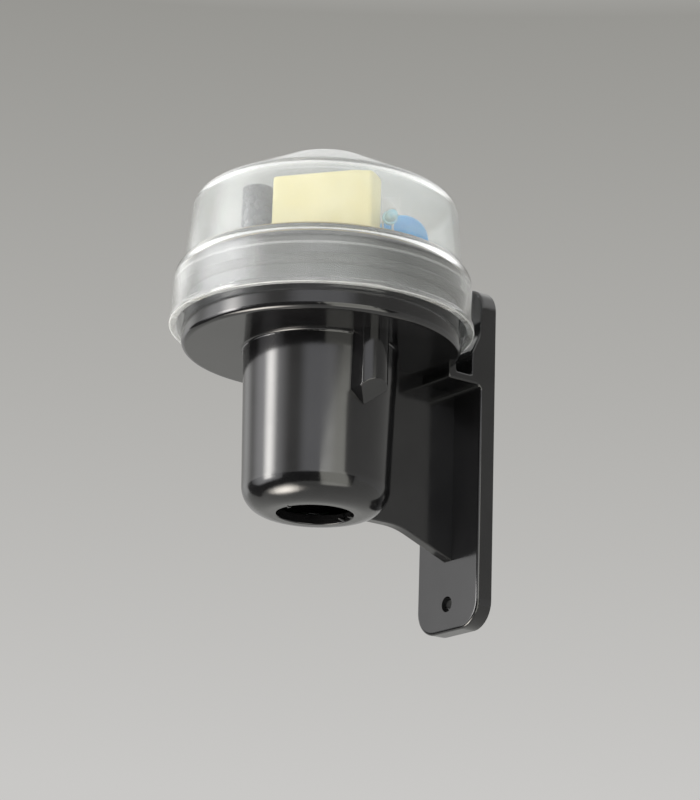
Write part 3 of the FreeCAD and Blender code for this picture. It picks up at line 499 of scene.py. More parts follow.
def lineTree():
    # A flat printed line along a drawn path: the section's width stands up, its height lies flat
    tree, given = newTree("printedLine", [("Line Width", "Float"), ("Ink Height", "Float"), ("Material", "Material")])
    path = addNode(tree, "GeometryNodeMeshToCurve", {}, {"Mesh": given["Drawing"]})
    section = addNode(
        tree,
        "GeometryNodeCurvePrimitiveQuadrilateral",
        {},
        {"Width": given["Ink Height"], "Height": given["Line Width"]},
    )
    line = addNode(
        tree,
        "GeometryNodeCurveToMesh",
        {"Fill Caps": True},
        {"Curve": path.outputs[0], "Profile Curve": section.outputs[0]},
    )
    return closeTree(tree, line.outputs[0], given["Material"])


turnedGroup = turnedTree()
wireGroup = wireTree()
scatterGroup = scatterTree()
lineGroup = lineTree()
print("node trees", [g.name for g in bpy.data.node_groups])


# Drawing and placing


def newObject(name, mesh):
    piece = bpy.data.objects.new(name, mesh)
    bpy.context.scene.collection.objects.link(piece)
    return piece


def drawing(name, paths, closed=False):
    # A mesh of bare edges, one chain for each path, or bare points for one-point paths
    verts, edges = [], []
    for path in paths:
        first = len(verts)
        verts += [tuple(p) for p in path]
        edges += [(first + i, first + i + 1) for i in range(len(path) - 1)]
        if closed:
            edges.append((first + len(path) - 1, first))
    mesh = bpy.data.meshes.new(name)
    mesh.from_pydata(verts, edges, [])
    return newObject(name, mesh)


def outward(mesh):
    # Faces point out: a closed shell with a negative volume is turned over
    shape = bmesh.new()
    shape.from_mesh(mesh)
    if shape.calc_volume(signed=True) < 0:
        bmesh.ops.reverse_faces(shape, faces=shape.faces)
        shape.to_mesh(mesh)
    shape.free()


def grow(name, source, tree, values, place):
    # Runs a tree on a drawing and keeps the result as a plain mesh in its place
    step = source.modifiers.new(tree.name, "NODES")
    step.node_group = tree
    for socket in tree.interface.items_tree:
        if socket.in_out == "INPUT" and socket.name in values:
            step[socket.identifier] = values[socket.name]
    bpy.context.view_layer.update()
    graph = bpy.context.evaluated_depsgraph_get()
    mesh = bpy.data.meshes.new_from_object(source.evaluated_get(graph), depsgraph=graph)
    source.modifiers.clear()
    bpy.data.objects.remove(source)
    mesh.transform(place)
    mesh.name = name
    outward(mesh)
    return newObject(name, mesh)


def turned(name, outline, place, material, segments=96, crease=35, closed=False):
    source = drawing(name + "Drawing", [[(r, 0, z) for r, z in outline]], closed)
    values = {"Segments": segments, "Crease Angle": math.radians(crease), "Material": material}
    return grow(name, source, turnedGroup, values, place)


def arc(x, z, r, start, end, steps):
    angles = [math.radians(start + (end - start) * i / steps) for i in range(steps + 1)]
    return [(x + r * math.cos(a), z + r * math.sin(a)) for a in angles]


def roundCorners(points, steps=5):
    # (x, z, radius) corners to plain points, each corner rounded by its radius
    result = []
    for i, (x, z, r) in enumerate(points):
        if r == 0:
            result.append((x, z))
            continue
        here = Vector((x, z))
        back = (Vector(points[i - 1][:2]) - here).normalized()
        ahead = (Vector(points[(i + 1) % len(points)][:2]) - here).normalized()
        half = back.angle(ahead) / 2
        middle = here + (back + ahead).normalized() * (r / math.sin(half))
        start = here + back * (r / math.tan(half)) - middle
        end = here + ahead * (r / math.tan(half)) - middle
        sweep = start.angle_signed(end)
        for k in range(steps + 1):
            ray = Matrix.Rotation(-sweep * k / steps, 2) @ start
            result.append(tuple(middle + ray))
    return result


def settle(piece, slotName, *nodes):
    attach(piece, "root")
    if nodes:
        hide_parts(*nodes)
    return piece


def middleOf(node):
    # A node's middle in the board's layout
    low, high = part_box(node)
    return boardPlace.inverted() @ ((low + high) / 2)


# Housing, board, screws and boxed parts keep their solids and take their finishes

finishes = {
    "housing": blackShell,
    "circuit_board": laminate,
    "board_screws": zincSteel,
    "film_capacitor": creamCase,
    "relay": relayCase,
    "terminal_block": greenNylon,
    "terminal_clamps": tinnedBrass,
    "terminal_screws": zincSteel,
}
for node, finish in finishes.items():
    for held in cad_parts[node].material_slots:
        held.material = finish
print("finishes", list(finishes))

# Clear cover

cover = {
    "wall": 1.6,
    "capRadius": 16.0,
    "capRise": 4.4,
    "capSteps": 16,
    "slope": 27.5,
    "cornerRadius": 35.05,
    "cornerHeight": 34.9,
    "cornerRound": 4.65,
    "cornerSteps": 10,
    "footRadius": 36.7,
    "footHeight": 17.0,
    "shoulderRound": 5.0,
    "shoulderCrease": 0.5,  # rounding where the wall runs into the shoulder, outside only
    "shoulderSteps": 12,
    "skirtTopRadius": 39.2,
    "skirtTop": 12.5,
    "skirtRadius": 39.6,
    "skirtEnd": (0.05, 0.4),  # how far inside skirtRadius and above the rim the skirt's wall ends
    "rimRadius": 40.0,
    "rimHeight": 1.2,
    "rimRound": 0.2,
    "edgeRound": 0.3,
    "segments": 256,
    "crease": 30,
}
# The bayonet hooks are part of the cover: rows of its inner wall step inwards over a short span.
# The photographed side shows none, so the third is left out.
hook = {
    "inner": 36.45,
    "low": 9.6,
    "top": 10.9,
    "round": 0.12,
    "span": 10,
    "angles": (63, 183),
    "wall": (37, 38.2),  # radii between which the wall's inner face lies
    "touch": 0.01,
}
hookRows = [edge + step for edge in (hook["low"], hook["top"]) for step in (-hook["round"], 0, hook["round"])]


def coverSide(inset):
    # From the top's middle down to the skirt's top, on the outer face or the given depth inside it
    c = cover
    slope = math.tan(math.radians(c["slope"]))
    lean = (c["footRadius"] - c["cornerRadius"]) / (c["cornerHeight"] - c["footHeight"])
    sphere = (c["capRadius"] ** 2 + c["capRise"] ** 2) / (2 * c["capRise"])
    capEdge = c["cornerHeight"] + (c["cornerRadius"] - c["capRadius"]) * slope
    centre = capEdge + c["capRise"] - sphere
    drop = inset / math.cos(math.radians(c["slope"]))
    ball = sphere - inset
    k = capEdge - drop + slope * c["capRadius"] - centre
    edge = (slope * k + math.sqrt(ball**2 * (1 + slope**2) - k * k)) / (1 + slope**2)
    edgeAngle = math.degrees(math.acos(edge / ball))
    rise = (inset * slope - drop) / (1 - lean * slope)
    corner = (c["cornerRadius"] - inset - lean * rise, c["cornerHeight"] + rise)
    axis = c["skirtTopRadius"] - c["shoulderRound"]
    around = c["shoulderRound"] - inset
    meet = math.degrees(math.acos((c["footRadius"] - inset - axis) / around))
    shoulder = arc(axis, c["skirtTop"], around, meet, 0, c["shoulderSteps"])
    crease = c["shoulderCrease"] if inset == 0 else 0
    side = [(edge, centre + ball * math.sin(math.radians(edgeAngle)), 0)]
    side += [(*corner, c["cornerRound"] - inset), (*shoulder[0], crease), (*shoulder[1], 0)]
    cap = arc(0, centre, ball, 90, edgeAngle, c["capSteps"])
    return cap[:-1] + roundCorners(side, c["cornerSteps"])[:-1] + shoulder[1:]


def coverOutline():
    # The outer face, the rim, and the inner face back up to the axis
    c = cover
    inner = coverSide(c["wall"])
    wallOut = c["skirtRadius"] - c["wall"]
    wallLean = (wallOut - inner[-1][0]) / c["skirtTop"]
    rim = [
        (c["skirtTopRadius"], c["skirtTop"], 0),
        (c["skirtRadius"] - c["skirtEnd"][0], c["rimHeight"] + c["skirtEnd"][1], c["edgeRound"]),
        (c["rimRadius"], c["rimHeight"], c["rimRound"]),
        (c["rimRadius"], 0, c["edgeRound"]),
        (wallOut, 0, c["edgeRound"]),
    ]
    rim += [(wallOut - wallLean * z, z, 0) for z in hookRows]
    rim += [(inner[-1][0], c["skirtTop"], 0)]
    outline = coverSide(0) + roundCorners(rim)[1:-1] + inner[::-1]
    return [(max(r, 0), z) for r, z in outline]


clearCover = turned("clearCover", coverOutline(), rimPlace, clearCoat, cover["segments"], cover["crease"])
for vertex in clearCover.data.vertices:
    spot = rimPlace.inverted() @ vertex.co
    radius = math.hypot(spot.x, spot.y)
    angle = math.degrees(math.atan2(spot.y, spot.x))
    near = min(abs((angle - a + 180) % 360 - 180) for a in hook["angles"])
    inRows = hook["low"] - hook["touch"] < spot.z < hook["top"] + hook["touch"]
    if near < hook["span"] / 2 and inRows and hook["wall"][0] < radius < hook["wall"][1]:
        toEnd = min(abs(spot.z - hook["low"]), abs(spot.z - hook["top"]))
        reach = hook["inner"] + (hook["round"] if toEnd < hook["touch"] else 0)
        spot *= Vector((reach / radius, reach / radius, 1))
        vertex.co = rimPlace @ spot
settle(clearCover, "clear_plastic", "dome_cover")

# Ring seal, a plain round section whose last step closes it
seal = {"ring": 36.47, "section": 1.21, "height": 7.2, "segments": 192, "crease": 60}
sealOutline = arc(seal["ring"], seal["height"], seal["section"], 0, 345, 23)
ringSeal = turned("ringSeal", sealOutline, rimPlace, sealRubber, seal["segments"], seal["crease"], closed=True)
settle(ringSeal, "seal_rubber", "cover_seal")
print("cover, hooks and seal")

# Electrolytic capacitor: a sleeve round a can with its bare top
can = {
    "radius": 4.0,
    "height": 16.0,
    "neck": 0.45,  # how far the crimped neck is drawn in
    "neckHeights": (1.3, 1.8, 2.3, 2.9),
    "lip": 0.8,  # width of the sleeve's lip round the top
    "sink": 0.3,  # the sleeve's end below the lip
    "topFoot": 0.28,
    "topFace": 0.12,  # the bare top below the lip
    "topGap": 0.05,
    "topSlope": 0.3,
    "pitch": 3.5,
    "leadTop": 0.5,
}
canMiddle = middleOf("electrolytic_capacitor")
canPlace = boardPlace @ Matrix.Translation((canMiddle.x, canMiddle.y, 0))
canNeck = can["radius"] - can["neck"]
canLip = can["radius"] - can["lip"]
neckHeights = can["neckHeights"]
canOutline = roundCorners(
    [
        (0, 0, 0),
        (can["radius"], 0, 0.35),
        (can["radius"], neckHeights[0], 0.4),
        (canNeck, neckHeights[1], 0.3),
        (canNeck, neckHeights[2], 0.3),
        (can["radius"], neckHeights[3], 0.4),
        (can["radius"], can["height"], 0.55),
        (canLip, can["height"], 0.12),
        (canLip, can["height"] - can["sink"], 0),
        (0, can["height"] - can["sink"], 0),
    ]
)
sleeve = turned("canSleeve", canOutline, canPlace, canSleeve, 64)
settle(sleeve, "dark_sleeve", "electrolytic_capacitor")
topRadius = can["radius"] - can["lip"] - can["topGap"]
topOutline = roundCorners(
    [
        (0, can["height"] - can["topFoot"], 0),
        (0, can["height"] - can["topFace"], 0),
        (topRadius - can["topSlope"], can["height"] - can["topFace"], 0.1),
        (topRadius, can["height"] - can["topFoot"], 0),
    ]
)
canTop = turned("canTop", topOutline, canPlace, canMetal, 64)
settle(canTop, "plated_steel")

# Leads, gathered here and made when every part stands. Each ends below the board.
lead = {
    "stout": 0.4,
    "fine": 0.3,
    "stub": 1.2,  # how far it comes out below the board
    "bury": 0.3,  # how far it reaches into a body's end
    "boxTop": 0.2,  # and up into a boxed part
    "bend": 0.8,
    "sides": 12,
    "crease": 0.8,  # radians
}
stout, fine = lead["stout"], lead["fine"]
leadPaths = {stout: [], fine: []}
throughPoints = []
leadEnd = -boardThickness - lead["stub"]


def straightLead(wire, x, y, top):
    leadPaths[wire].append([(x, y, top), (x, y, leadEnd)])
    throughPoints.append((x, y))


# Coated discs


def coatedDisc(name, node, disc, material):
    # A lens shaped coating on a disc that stands on edge, turned about its own axis
    radius, half, edge = disc["diameter"] / 2, disc["thickness"] / 2, disc["thickness"] / 4
    middle = middleOf(node)
    faceSteps = 10
    angles = [math.pi / 2 * i / faceSteps for i in range(faceSteps + 1)]
    face = [(radius * math.sin(a), edge + (half - edge) * math.cos(a)) for a in angles]
    outline = face[:-1] + arc(radius - edge, 0, edge, 90, -90, 8) + [(x, -z) for x, z in reversed(face[:-1])]
    stand = Matrix.Translation((middle.x, middle.y, disc["rise"] + radius))
    turn = Matrix.Rotation(math.radians(disc["turn"]), 4, "Z")
    place = boardPlace @ stand @ turn @ Matrix.Rotation(math.pi / 2, 4, "X")
    return turned(name, outline, place, material, 72)


varistorDisc = {"diameter": 14.0, "thickness": 4.2, "rise": 0.8, "turn": 12, "pitch": 7.5, "wire": stout}
filterDisc = {"diameter": 6.0, "thickness": 2.6, "rise": 1.4, "turn": 0, "pitch": 5.0, "wire": fine}
settle(coatedDisc("varistorDisc", "varistor", varistorDisc, blueDip), "blue_epoxy", "varistor")
settle(coatedDisc("filterDisc", "filter_capacitor", filterDisc, orangeDip), "ceramic_coat", "filter_capacitor")

# Lying round parts. The resistors' bodies are drawn in by the waist, inwards of the shoulder.

diode = {"diameter": 2.7, "length": 5.2, "pitch": 10.2, "turn": 90, "wire": stout, "waist": 0}
wirewound = {"diameter": 4.0, "length": 10.0, "pitch": 14.0, "turn": 90, "wire": stout, "waist": 0.25}
filmResistor = {"diameter": 2.4, "length": 6.2, "pitch": 9.0, "turn": 0, "wire": fine, "waist": 0.2}
axialParts = {
    "zener_diode": {**diode, "finish": zenerGlass, "slot": "diode_glass"},
    "flyback_diode": {**diode, "finish": flybackBody, "slot": "black_epoxy"},
    "inrush_resistor": {**wirewound, "finish": cementCoat, "slot": "cement_coat"},
    "bleed_resistor": {**filmResistor, "finish": beigeLacquer, "slot": "resistor_coat"},
    "bias_resistor": {**filmResistor, "finish": roseLacquer, "slot": "resistor_coat"},
}
shoulderShare = 0.6  # of half the body's length
waistRound = 0.3

for node, part in axialParts.items():
    middle = middleOf(node)
    r, half, waist = part["diameter"] / 2, part["length"] / 2, part["waist"]
    outline = [(0, -half, 0), (r, -half, r / 3)]
    if waist:
        shoulder = half * shoulderShare
        outline += [(r, -shoulder, waistRound), (r - waist, -shoulder + waist, waistRound)]
        outline += [(r - waist, shoulder - waist, waistRound), (r, shoulder, waistRound)]
    outline += [(r, half, r / 3), (0, half, 0)]
    turn = Matrix.Rotation(math.radians(part["turn"]), 4, "Z")
    place = boardPlace @ Matrix.Translation((middle.x, middle.y, r)) @ turn @ Matrix.Rotation(math.pi / 2, 4, "Y")
    body = turned(node.replace("_r", "R").replace("_d", "D"), roundCorners(outline), place, part["finish"], 40)
    settle(body, part["slot"], node)
    for side in (-1, 1):
        end = turn @ Vector((side * part["pitch"] / 2, 0, 0))
        inside = turn @ Vector((side * (half - lead["bury"]), 0, 0))
        x, y = middle.x + end.x, middle.y + end.y
        leadPaths[part["wire"]].append(
            [(middle.x + inside.x, middle.y + inside.y, r), (x, y, r), (x, y, leadEnd)]
        )
        throughPoints.append((x, y))

for node, disc in (("varistor", varistorDisc), ("filter_capacitor", filterDisc)):
    middle = middleOf(node)
    for side in (-1, 1):
        a = math.radians(disc["turn"])
        x = middle.x + side * disc["pitch"] / 2 * math.cos(a)
        y = middle.y + side * disc["pitch"] / 2 * math.sin(a)
        straightLead(disc["wire"], x, y, disc["rise"] + disc["diameter"] / 2)

for side in (-1, 1):
    straightLead(fine, canMiddle.x + side * can["pitch"] / 2, canMiddle.y, can["leadTop"])
print("round parts", list(axialParts))


# Small moulded bodies


def mouldedBody(name, outline, height, low, middle, edge, material):
    # An outline in plan carried up, with rounded edges
    shape = bmesh.new()
    base = shape.faces.new([shape.verts.new((middle.x + x, middle.y + y, low)) for x, y in outline])
    up = bmesh.ops.extrude_face_region(shape, geom=[base])
    raised = [v for v in up["geom"] if isinstance(v, bmesh.types.BMVert)]
    bmesh.ops.translate(shape, verts=raised, vec=(0, 0, height))
    bmesh.ops.recalc_face_normals(shape, faces=shape.faces)
    sharp = [e for e in shape.edges if e.calc_face_angle(0) > math.radians(30)]
    bmesh.ops.bevel(shape, geom=sharp, offset=edge, segments=3, profile=0.5, affect="EDGES")
    mesh = bpy.data.meshes.new(name)
    shape.to_mesh(mesh)
    shape.free()
    mesh.transform(boardPlace)
    mesh.materials.append(material)
    mesh.shade_smooth()
    mesh.set_sharp_from_angle(angle=math.radians(40))
    outward(mesh)
    return newObject(name, mesh)


# Bridge rectifier, with a bevelled corner at its positive leg
bridge = {
    "length": 8.4,
    "width": 6.4,
    "height": 2.5,
    "rise": 0.4,
    "edge": 0.2,
    "notch": 1.1,
    "row": 7.6,
    "legOut": 0.6,  # how far outside its row a leg stands
    "pitch": 5.1,
}
bridgeMiddle = middleOf("bridge_rectifier")
bx, by, cut = bridge["length"] / 2, bridge["width"] / 2, bridge["notch"]
bridgeOutline = [(-bx, -by), (bx, -by), (bx, by), (-bx + cut, by), (-bx, by - cut)]
bridgeBody = mouldedBody(
    "bridgeBody", bridgeOutline, bridge["height"], bridge["rise"], bridgeMiddle, bridge["edge"], blackEpoxy
)
settle(bridgeBody, "black_epoxy", "bridge_rectifier")
legHeight = bridge["rise"] + bridge["height"] / 2
for sx in (-1, 1):
    for sy in (-1, 1):
        inside = bridgeMiddle.x + sx * (bx - lead["bury"])
        x = bridgeMiddle.x + sx * (bridge["row"] / 2 + bridge["legOut"])
        y = bridgeMiddle.y + sy * bridge["pitch"] / 2
        leadPaths[fine].append([(inside, y, legHeight), (x, y, legHeight), (x, y, leadEnd)])
        throughPoints.append((x, y))

# Driver transistor: a round back and a flat face
transistor = {
    "radius": 2.4,
    "flat": 1.3,
    "height": 4.6,
    "rise": 2.2,
    "edge": 0.15,
    "pitch": 1.27,
    "grip": 1,  # how far its leads reach up into it
}
transistorMiddle = middleOf("driver_transistor")
transistorMiddle.y += (transistor["radius"] - transistor["flat"]) / 2
flatHalf = math.degrees(math.asin(transistor["flat"] / transistor["radius"]))
roundBack = arc(0, 0, transistor["radius"], flatHalf, -180 - flatHalf, 20)
transistorBody = mouldedBody(
    "transistorBody",
    roundBack,
    transistor["height"],
    transistor["rise"],
    transistorMiddle,
    transistor["edge"],
    blackEpoxy,
)
settle(transistorBody, "black_epoxy", "driver_transistor")
for i in (-1, 0, 1):
    x = transistorMiddle.x + i * transistor["pitch"]
    straightLead(fine, x, transistorMiddle.y, transistor["rise"] + transistor["grip"])

# Light sensor: a clear round head on two bent leads, its chip on a post inside
sensor = {
    "radius": 1.5,
    "flange": 1.9,
    "flangeThickness": 1.0,
    "flangeRound": 0.15,
    "length": 4.6,
    "height": 6.6,
    "turn": -61,
    "pillarReach": 21.4,  # the front screw pillar's distance from the stem's axis
    "fromPillar": 6.58,
    "pitch": 2.54,
    "back": 1.8,  # how far behind the head the leads bend down
    "neck": (-0.2, 0.75),  # where they enter the flange, and how much closer they are there
    "tips": (1.6, 2.2),  # the thin lead and the one that carries the chip
    "tipSpread": 0.55,
    "chipAt": (2.2, 0.45),
    "chipHalf": 0.35,
    "chipHeight": 0.5,
    "chipEdge": 0.06,
}
sensorReach = sensor["pillarReach"] + sensor["fromPillar"]
sensorAt = Vector((sensorReach * math.cos(boardTurn), -sensorReach * math.sin(boardTurn), 0))
sensorTurn = Matrix.Rotation(math.radians(sensor["turn"]), 4, "Z")
sensorStand = Matrix.Translation(sensorAt + Vector((0, 0, sensor["height"])))
sensorPlace = boardPlace @ sensorStand @ sensorTurn @ Matrix.Rotation(math.pi / 2, 4, "Y")
straight = sensor["length"] - sensor["radius"]
sensorOutline = roundCorners(
    [
        (0, 0, 0),
        (sensor["flange"], 0, sensor["flangeRound"]),
        (sensor["flange"], sensor["flangeThickness"], sensor["flangeRound"]),
        (sensor["radius"], sensor["flangeThickness"], 0),
    ]
)
sensorOutline += arc(0, straight, sensor["radius"], 0, 90, 12)
sensorHead = turned("sensorHead", sensorOutline, sensorPlace, clearCast, 48)
settle(sensorHead, "sensor_resin", "light_sensor")
for side, tipReach in zip((-1, 1), sensor["tips"]):
    foot = sensorAt + sensorTurn @ Vector((-sensor["back"], side * sensor["pitch"] / 2, 0))
    tip = sensorAt + sensorTurn @ Vector((tipReach, side * sensor["tipSpread"], 0))
    neck = sensorAt + sensorTurn @ Vector((sensor["neck"][0], side * sensor["pitch"] / 2 * sensor["neck"][1], 0))
    path = [(p.x, p.y, sensor["height"]) for p in (tip, neck, foot)]
    leadPaths[fine].append(path + [(foot.x, foot.y, leadEnd)])
    throughPoints.append((foot.x, foot.y))
chipAt = sensorAt + sensorTurn @ Vector((*sensor["chipAt"], 0))
chipOutline = [(x * sensor["chipHalf"], y * sensor["chipHalf"]) for x, y in fourCorners]
chipLow = sensor["height"] - sensor["chipHeight"] / 2
chip = mouldedBody(
    "sensorChip", chipOutline, sensor["chipHeight"], chipLow, chipAt, sensor["chipEdge"], blackEpoxy
)
settle(chip, "black_epoxy")

# Relay vent pip and the feet of the boxed parts
relay = {
    "length": 19.0,
    "width": 15.5,
    "legs": ((-7, 0), (-5, 5.85), (-5, -5.85), (7, 5.85), (7, -5.85)),
    "pipRadius": 0.9,
    "pipHeight": 0.35,
    "pipRound": 0.15,
    "pipAt": (-7.2, -5.4, 15.28),  # from the relay's middle, and up from the board
}
relayMiddle = middleOf("relay")
pipOutline = roundCorners(
    [
        (0, 0, 0),
        (relay["pipRadius"], 0, 0),
        (relay["pipRadius"], relay["pipHeight"], relay["pipRound"]),
        (0, relay["pipHeight"], 0),
    ]
)
pipX, pipY, pipZ = relay["pipAt"]
pipPlace = boardPlace @ Matrix.Translation((relayMiddle.x + pipX, relayMiddle.y + pipY, pipZ))
settle(turned("relayPip", pipOutline, pipPlace, relayCase, 32), "relay_case")
film = {"length": 26.5, "width": 8.5, "pitch": 22.5}
filmMiddle = middleOf("film_capacitor")
for side in (-1, 1):
    straightLead(stout, filmMiddle.x + side * film["pitch"] / 2, filmMiddle.y, lead["boxTop"])
for x, y in relay["legs"]:
    straightLead(stout, relayMiddle.x + x, relayMiddle.y + y, lead["boxTop"])
print("moulded bodies, sensor and relay pip")

# Every lead, one object for each gauge of wire
for wire, name in ((stout, "stoutLeads"), (fine, "fineLeads")):
    values = {
        "Wire Radius": wire,
        "Bend Radius": lead["bend"],
        "Sides": lead["sides"],
        "Crease Angle": lead["crease"],
        "Material": tinnedWire,
    }
    settle(grow(name, drawing(name + "Drawing", leadPaths[wire]), wireGroup, values, boardPlace), "plated_steel")

# Solder below the board: a wetted cone at every lead
joint = {"foot": 1.15, "height": 1.15, "top": 0.42, "flare": 2.2, "steps": 6, "unevenness": 0.12, "seed": 4}
coneOutline = [(0, 0)]
for t in range(joint["steps"] + 1):
    coneRadius = joint["top"] + (joint["foot"] - joint["top"]) * (1 - t / joint["steps"]) ** joint["flare"]
    coneOutline.append((coneRadius, -joint["height"] * t / joint["steps"]))
coneOutline.append((0, -joint["height"]))
cone = turned("solderCone", coneOutline, Matrix.Identity(4), solder, 20)
points = drawing("solderPoints", [[(x, y, -boardThickness)] for x, y in throughPoints])
jointValues = {"Piece": cone, "Unevenness": joint["unevenness"], "Seed": joint["seed"], "Material": solder}
solderJoints = grow("solderJoints", points, scatterGroup, jointValues, boardPlace)
bpy.data.objects.remove(cone)
settle(solderJoints, "plated_steel")

# Printed outlines on the board, where each part goes
legend = {"lineWidth": 0.2, "inkHeight": 0.05, "margin": 0.5, "lift": 0.01}
terminalBlock = {"length": 22.5, "width": 10.4}


def boxOutline(middle, length, width):
    a, b = length / 2 + legend["margin"], width / 2 + legend["margin"]
    return [(middle.x + a * x, middle.y + b * y, legend["lift"]) for x, y in fourCorners]


canRing = arc(0, 0, can["radius"] + legend["margin"], 0, 350, 35)
outlines = [
    boxOutline(filmMiddle, film["length"], film["width"]),
    boxOutline(relayMiddle, relay["length"], relay["width"]),
    boxOutline(middleOf("terminal_block"), terminalBlock["length"], terminalBlock["width"]),
    boxOutline(bridgeMiddle, bridge["length"], bridge["width"]),
    [(canMiddle.x + x, canMiddle.y + y, legend["lift"]) for x, y in canRing],
]
for node, part in axialParts.items():
    size = (part["length"], part["diameter"]) if part["turn"] == 0 else (part["diameter"], part["length"])
    outlines.append(boxOutline(middleOf(node), *size))
legendValues = {"Line Width": legend["lineWidth"], "Ink Height": legend["inkHeight"], "Material": legendInk}
legendLines = grow("legendLines", drawing("legendDrawing", outlines, True), lineGroup, legendValues, boardPlace)
settle(legendLines, "cream_plastic")
print("leads, solder and legend", len(throughPoints))

# Moulding marks on the housing: three scraps of flash left on the cable entry's edge, as turned
# blobs drawn out towards the hole
entry = {
    "radius": 10.0,
    "root": 0.5,  # part of a scrap that is sunk in the wall
    "inset": 0.4,  # where it starts, outside the hole's edge
    "lean": 0.12,
    "scraps": [
        {"angle": -77.5, "reach": 0.7, "radius": 0.36, "low": -49.8},
        {"angle": 97, "reach": 1.7, "radius": 0.5, "low": -49.3},
        {"angle": 73, "reach": 1.1, "radius": 0.45, "low": -49.35},
    ],
}
scrapStart = entry["radius"] + entry["inset"]
for i, nib in enumerate(entry["scraps"]):
    length = nib["reach"] + entry["root"]
    blob = [
        (0, 0, 0),
        (nib["radius"], 0.1, 0.2),
        (nib["radius"] * 0.8, length * 0.55, 0.3),
        (nib["radius"] * 0.45, length, 0.12),
        (0, length, 0),
    ]
    a = math.radians(nib["angle"])
    stand = Matrix.Translation((scrapStart * math.cos(a), scrapStart * math.sin(a), nib["low"] + nib["radius"]))
    inwards = Vector((-math.cos(a), -math.sin(a), entry["lean"])).to_track_quat("Z", "Y").to_matrix().to_4x4()
    settle(turned(f"entryNib{i + 1}", roundCorners(blob), rimPlace @ stand @ inwards, blackShell, 16), "black_plastic")
print("flash on the cable entry", len(entry["scraps"]))

# Camera, at the photograph's angle

view = {
    "lens": 120.33,
    "sensor": 36,
    "clip": 0.01,
    "place": (0.543706, -0.42867, -0.19632),
    "right": (0.59083353, 0.80618888, 0.03122853),
    "up": (0.22016392, -0.19834818, 0.95508421),
    "back": (0.77617240, -0.55742038, -0.29468446),
}
camera = bpy.data.cameras.new("camera")
camera.lens = view["lens"]
camera.sensor_width = view["sensor"]
camera.clip_start = view["clip"]
cameraObject = newObject("camera", camera)
turn = Matrix([Vector(view[way]) for way in ("right", "up", "back")]).transposed().to_4x4()
cameraObject.matrix_world = Matrix.Translation(view["place"]) @ turn
bpy.context.scene.camera = cameraObject

# Light: a bright strip and a wide soft box to the left, one over the camera, a near pale card to
# the right and a soft glow low on the left, with a black flag behind the camera. Sides are in
# degrees from the camera's own, soft is the share of each edge that fades, and radiance is the
# middle's brightness.

cameraAzimuth = math.degrees(math.atan2(view["back"][1], view["back"][0]))
lampAim = Vector((0, -0.048, 0.0))
lamps = {
    "leftStrip": {
        "side": -76, "height": 5.3, "distance": 0.8, "size": (0.42, 0.53), "soft": (0.5, 0.2),
        "radiance": 10.8, "tint": "#FFFCF8",
    },
    "leftBox": {
        "side": -80, "height": 7, "distance": 1.0, "size": (1.6, 1.1), "soft": (0.45, 0.15),
        "radiance": 2.5, "tint": "#FDFDFF",
    },
    "frontBox": {
        "side": 0, "height": 14, "distance": 1.0, "size": (1.2, 0.44), "soft": (0.3, 0.15),
        "radiance": 1.05, "tint": "#F6F7FF",
    },
    "rightCard": {
        "side": 29, "height": -17, "distance": 0.31, "size": (0.25, 0.4), "soft": (0.08, 0.05),
        "roll": 12, "radiance": 2.5, "tint": "#FFFEF4",
    },
    "sideFill": {
        "side": -132, "height": 8, "distance": 1.2, "size": (1.0, 0.9), "soft": (0.5, 0.2),
        "radiance": 0.8, "tint": "#FFFFFF",
    },
    "lowGlow": {
        "side": -76, "height": -57, "distance": 0.7, "size": (0.75, 0.5), "soft": (0.5, 0.5),
        "radiance": 17.0, "tint": "#FFF8EE",
    },
}


def aroundAim(side, height, distance):
    a, e = math.radians(cameraAzimuth + side), math.radians(height)
    away = Vector((math.cos(e) * math.cos(a), math.cos(e) * math.sin(a), math.sin(e)))
    return lampAim + away * distance, away


for name, lamp in lamps.items():
    light = bpy.data.lights.new(name, "AREA")
    light.shape = "RECTANGLE"
    light.size, light.size_y = lamp["size"]
    light.energy = lamp["radiance"] * math.pi * lamp["size"][0] * lamp["size"][1]
    light.use_nodes = True
    glowTree = light.node_tree
    glowTree.nodes.clear()
    across = addNode(glowTree, "ShaderNodeNewGeometry").outputs["Parametric"]
    sides = addNode(glowTree, "ShaderNodeSeparateXYZ", {}, {"Vector": across})
    fades = []
    for axis, soft in zip("XY", lamp["soft"]):
        # How far in from the nearer edge, faded over the soft share of the width
        inward = addNode(glowTree, "ShaderNodeMath", {"operation": "PINGPONG", 1: 0.5}, {0: sides.outputs[axis]})
        fade = addNode(
            glowTree,
            "ShaderNodeMapRange",
            {"interpolation_type": "SMOOTHSTEP", "From Max": soft},
            {"Value": inward.outputs[0]},
        )
        fades.append(fade.outputs["Result"])
    both = addNode(glowTree, "ShaderNodeMath", {"operation": "MULTIPLY"}, {0: fades[0], 1: fades[1]})
    lit = addNode(glowTree, "ShaderNodeEmission", {"Color": linear(lamp["tint"])}, {"Strength": both.outputs[0]})
    addNode(glowTree, "ShaderNodeOutputLight", {}, {"Surface": lit.outputs[0]})
    lampObject = newObject(name, light)
    lampObject.location, away = aroundAim(lamp["side"], lamp["height"], lamp["distance"])
    roll = Matrix.Rotation(math.radians(lamp.get("roll", 0)), 3, "Z").to_quaternion()
    lampObject.rotation_euler = (away.to_track_quat("Z", "Y") @ roll).to_euler()
    lampObject.visible_camera = False

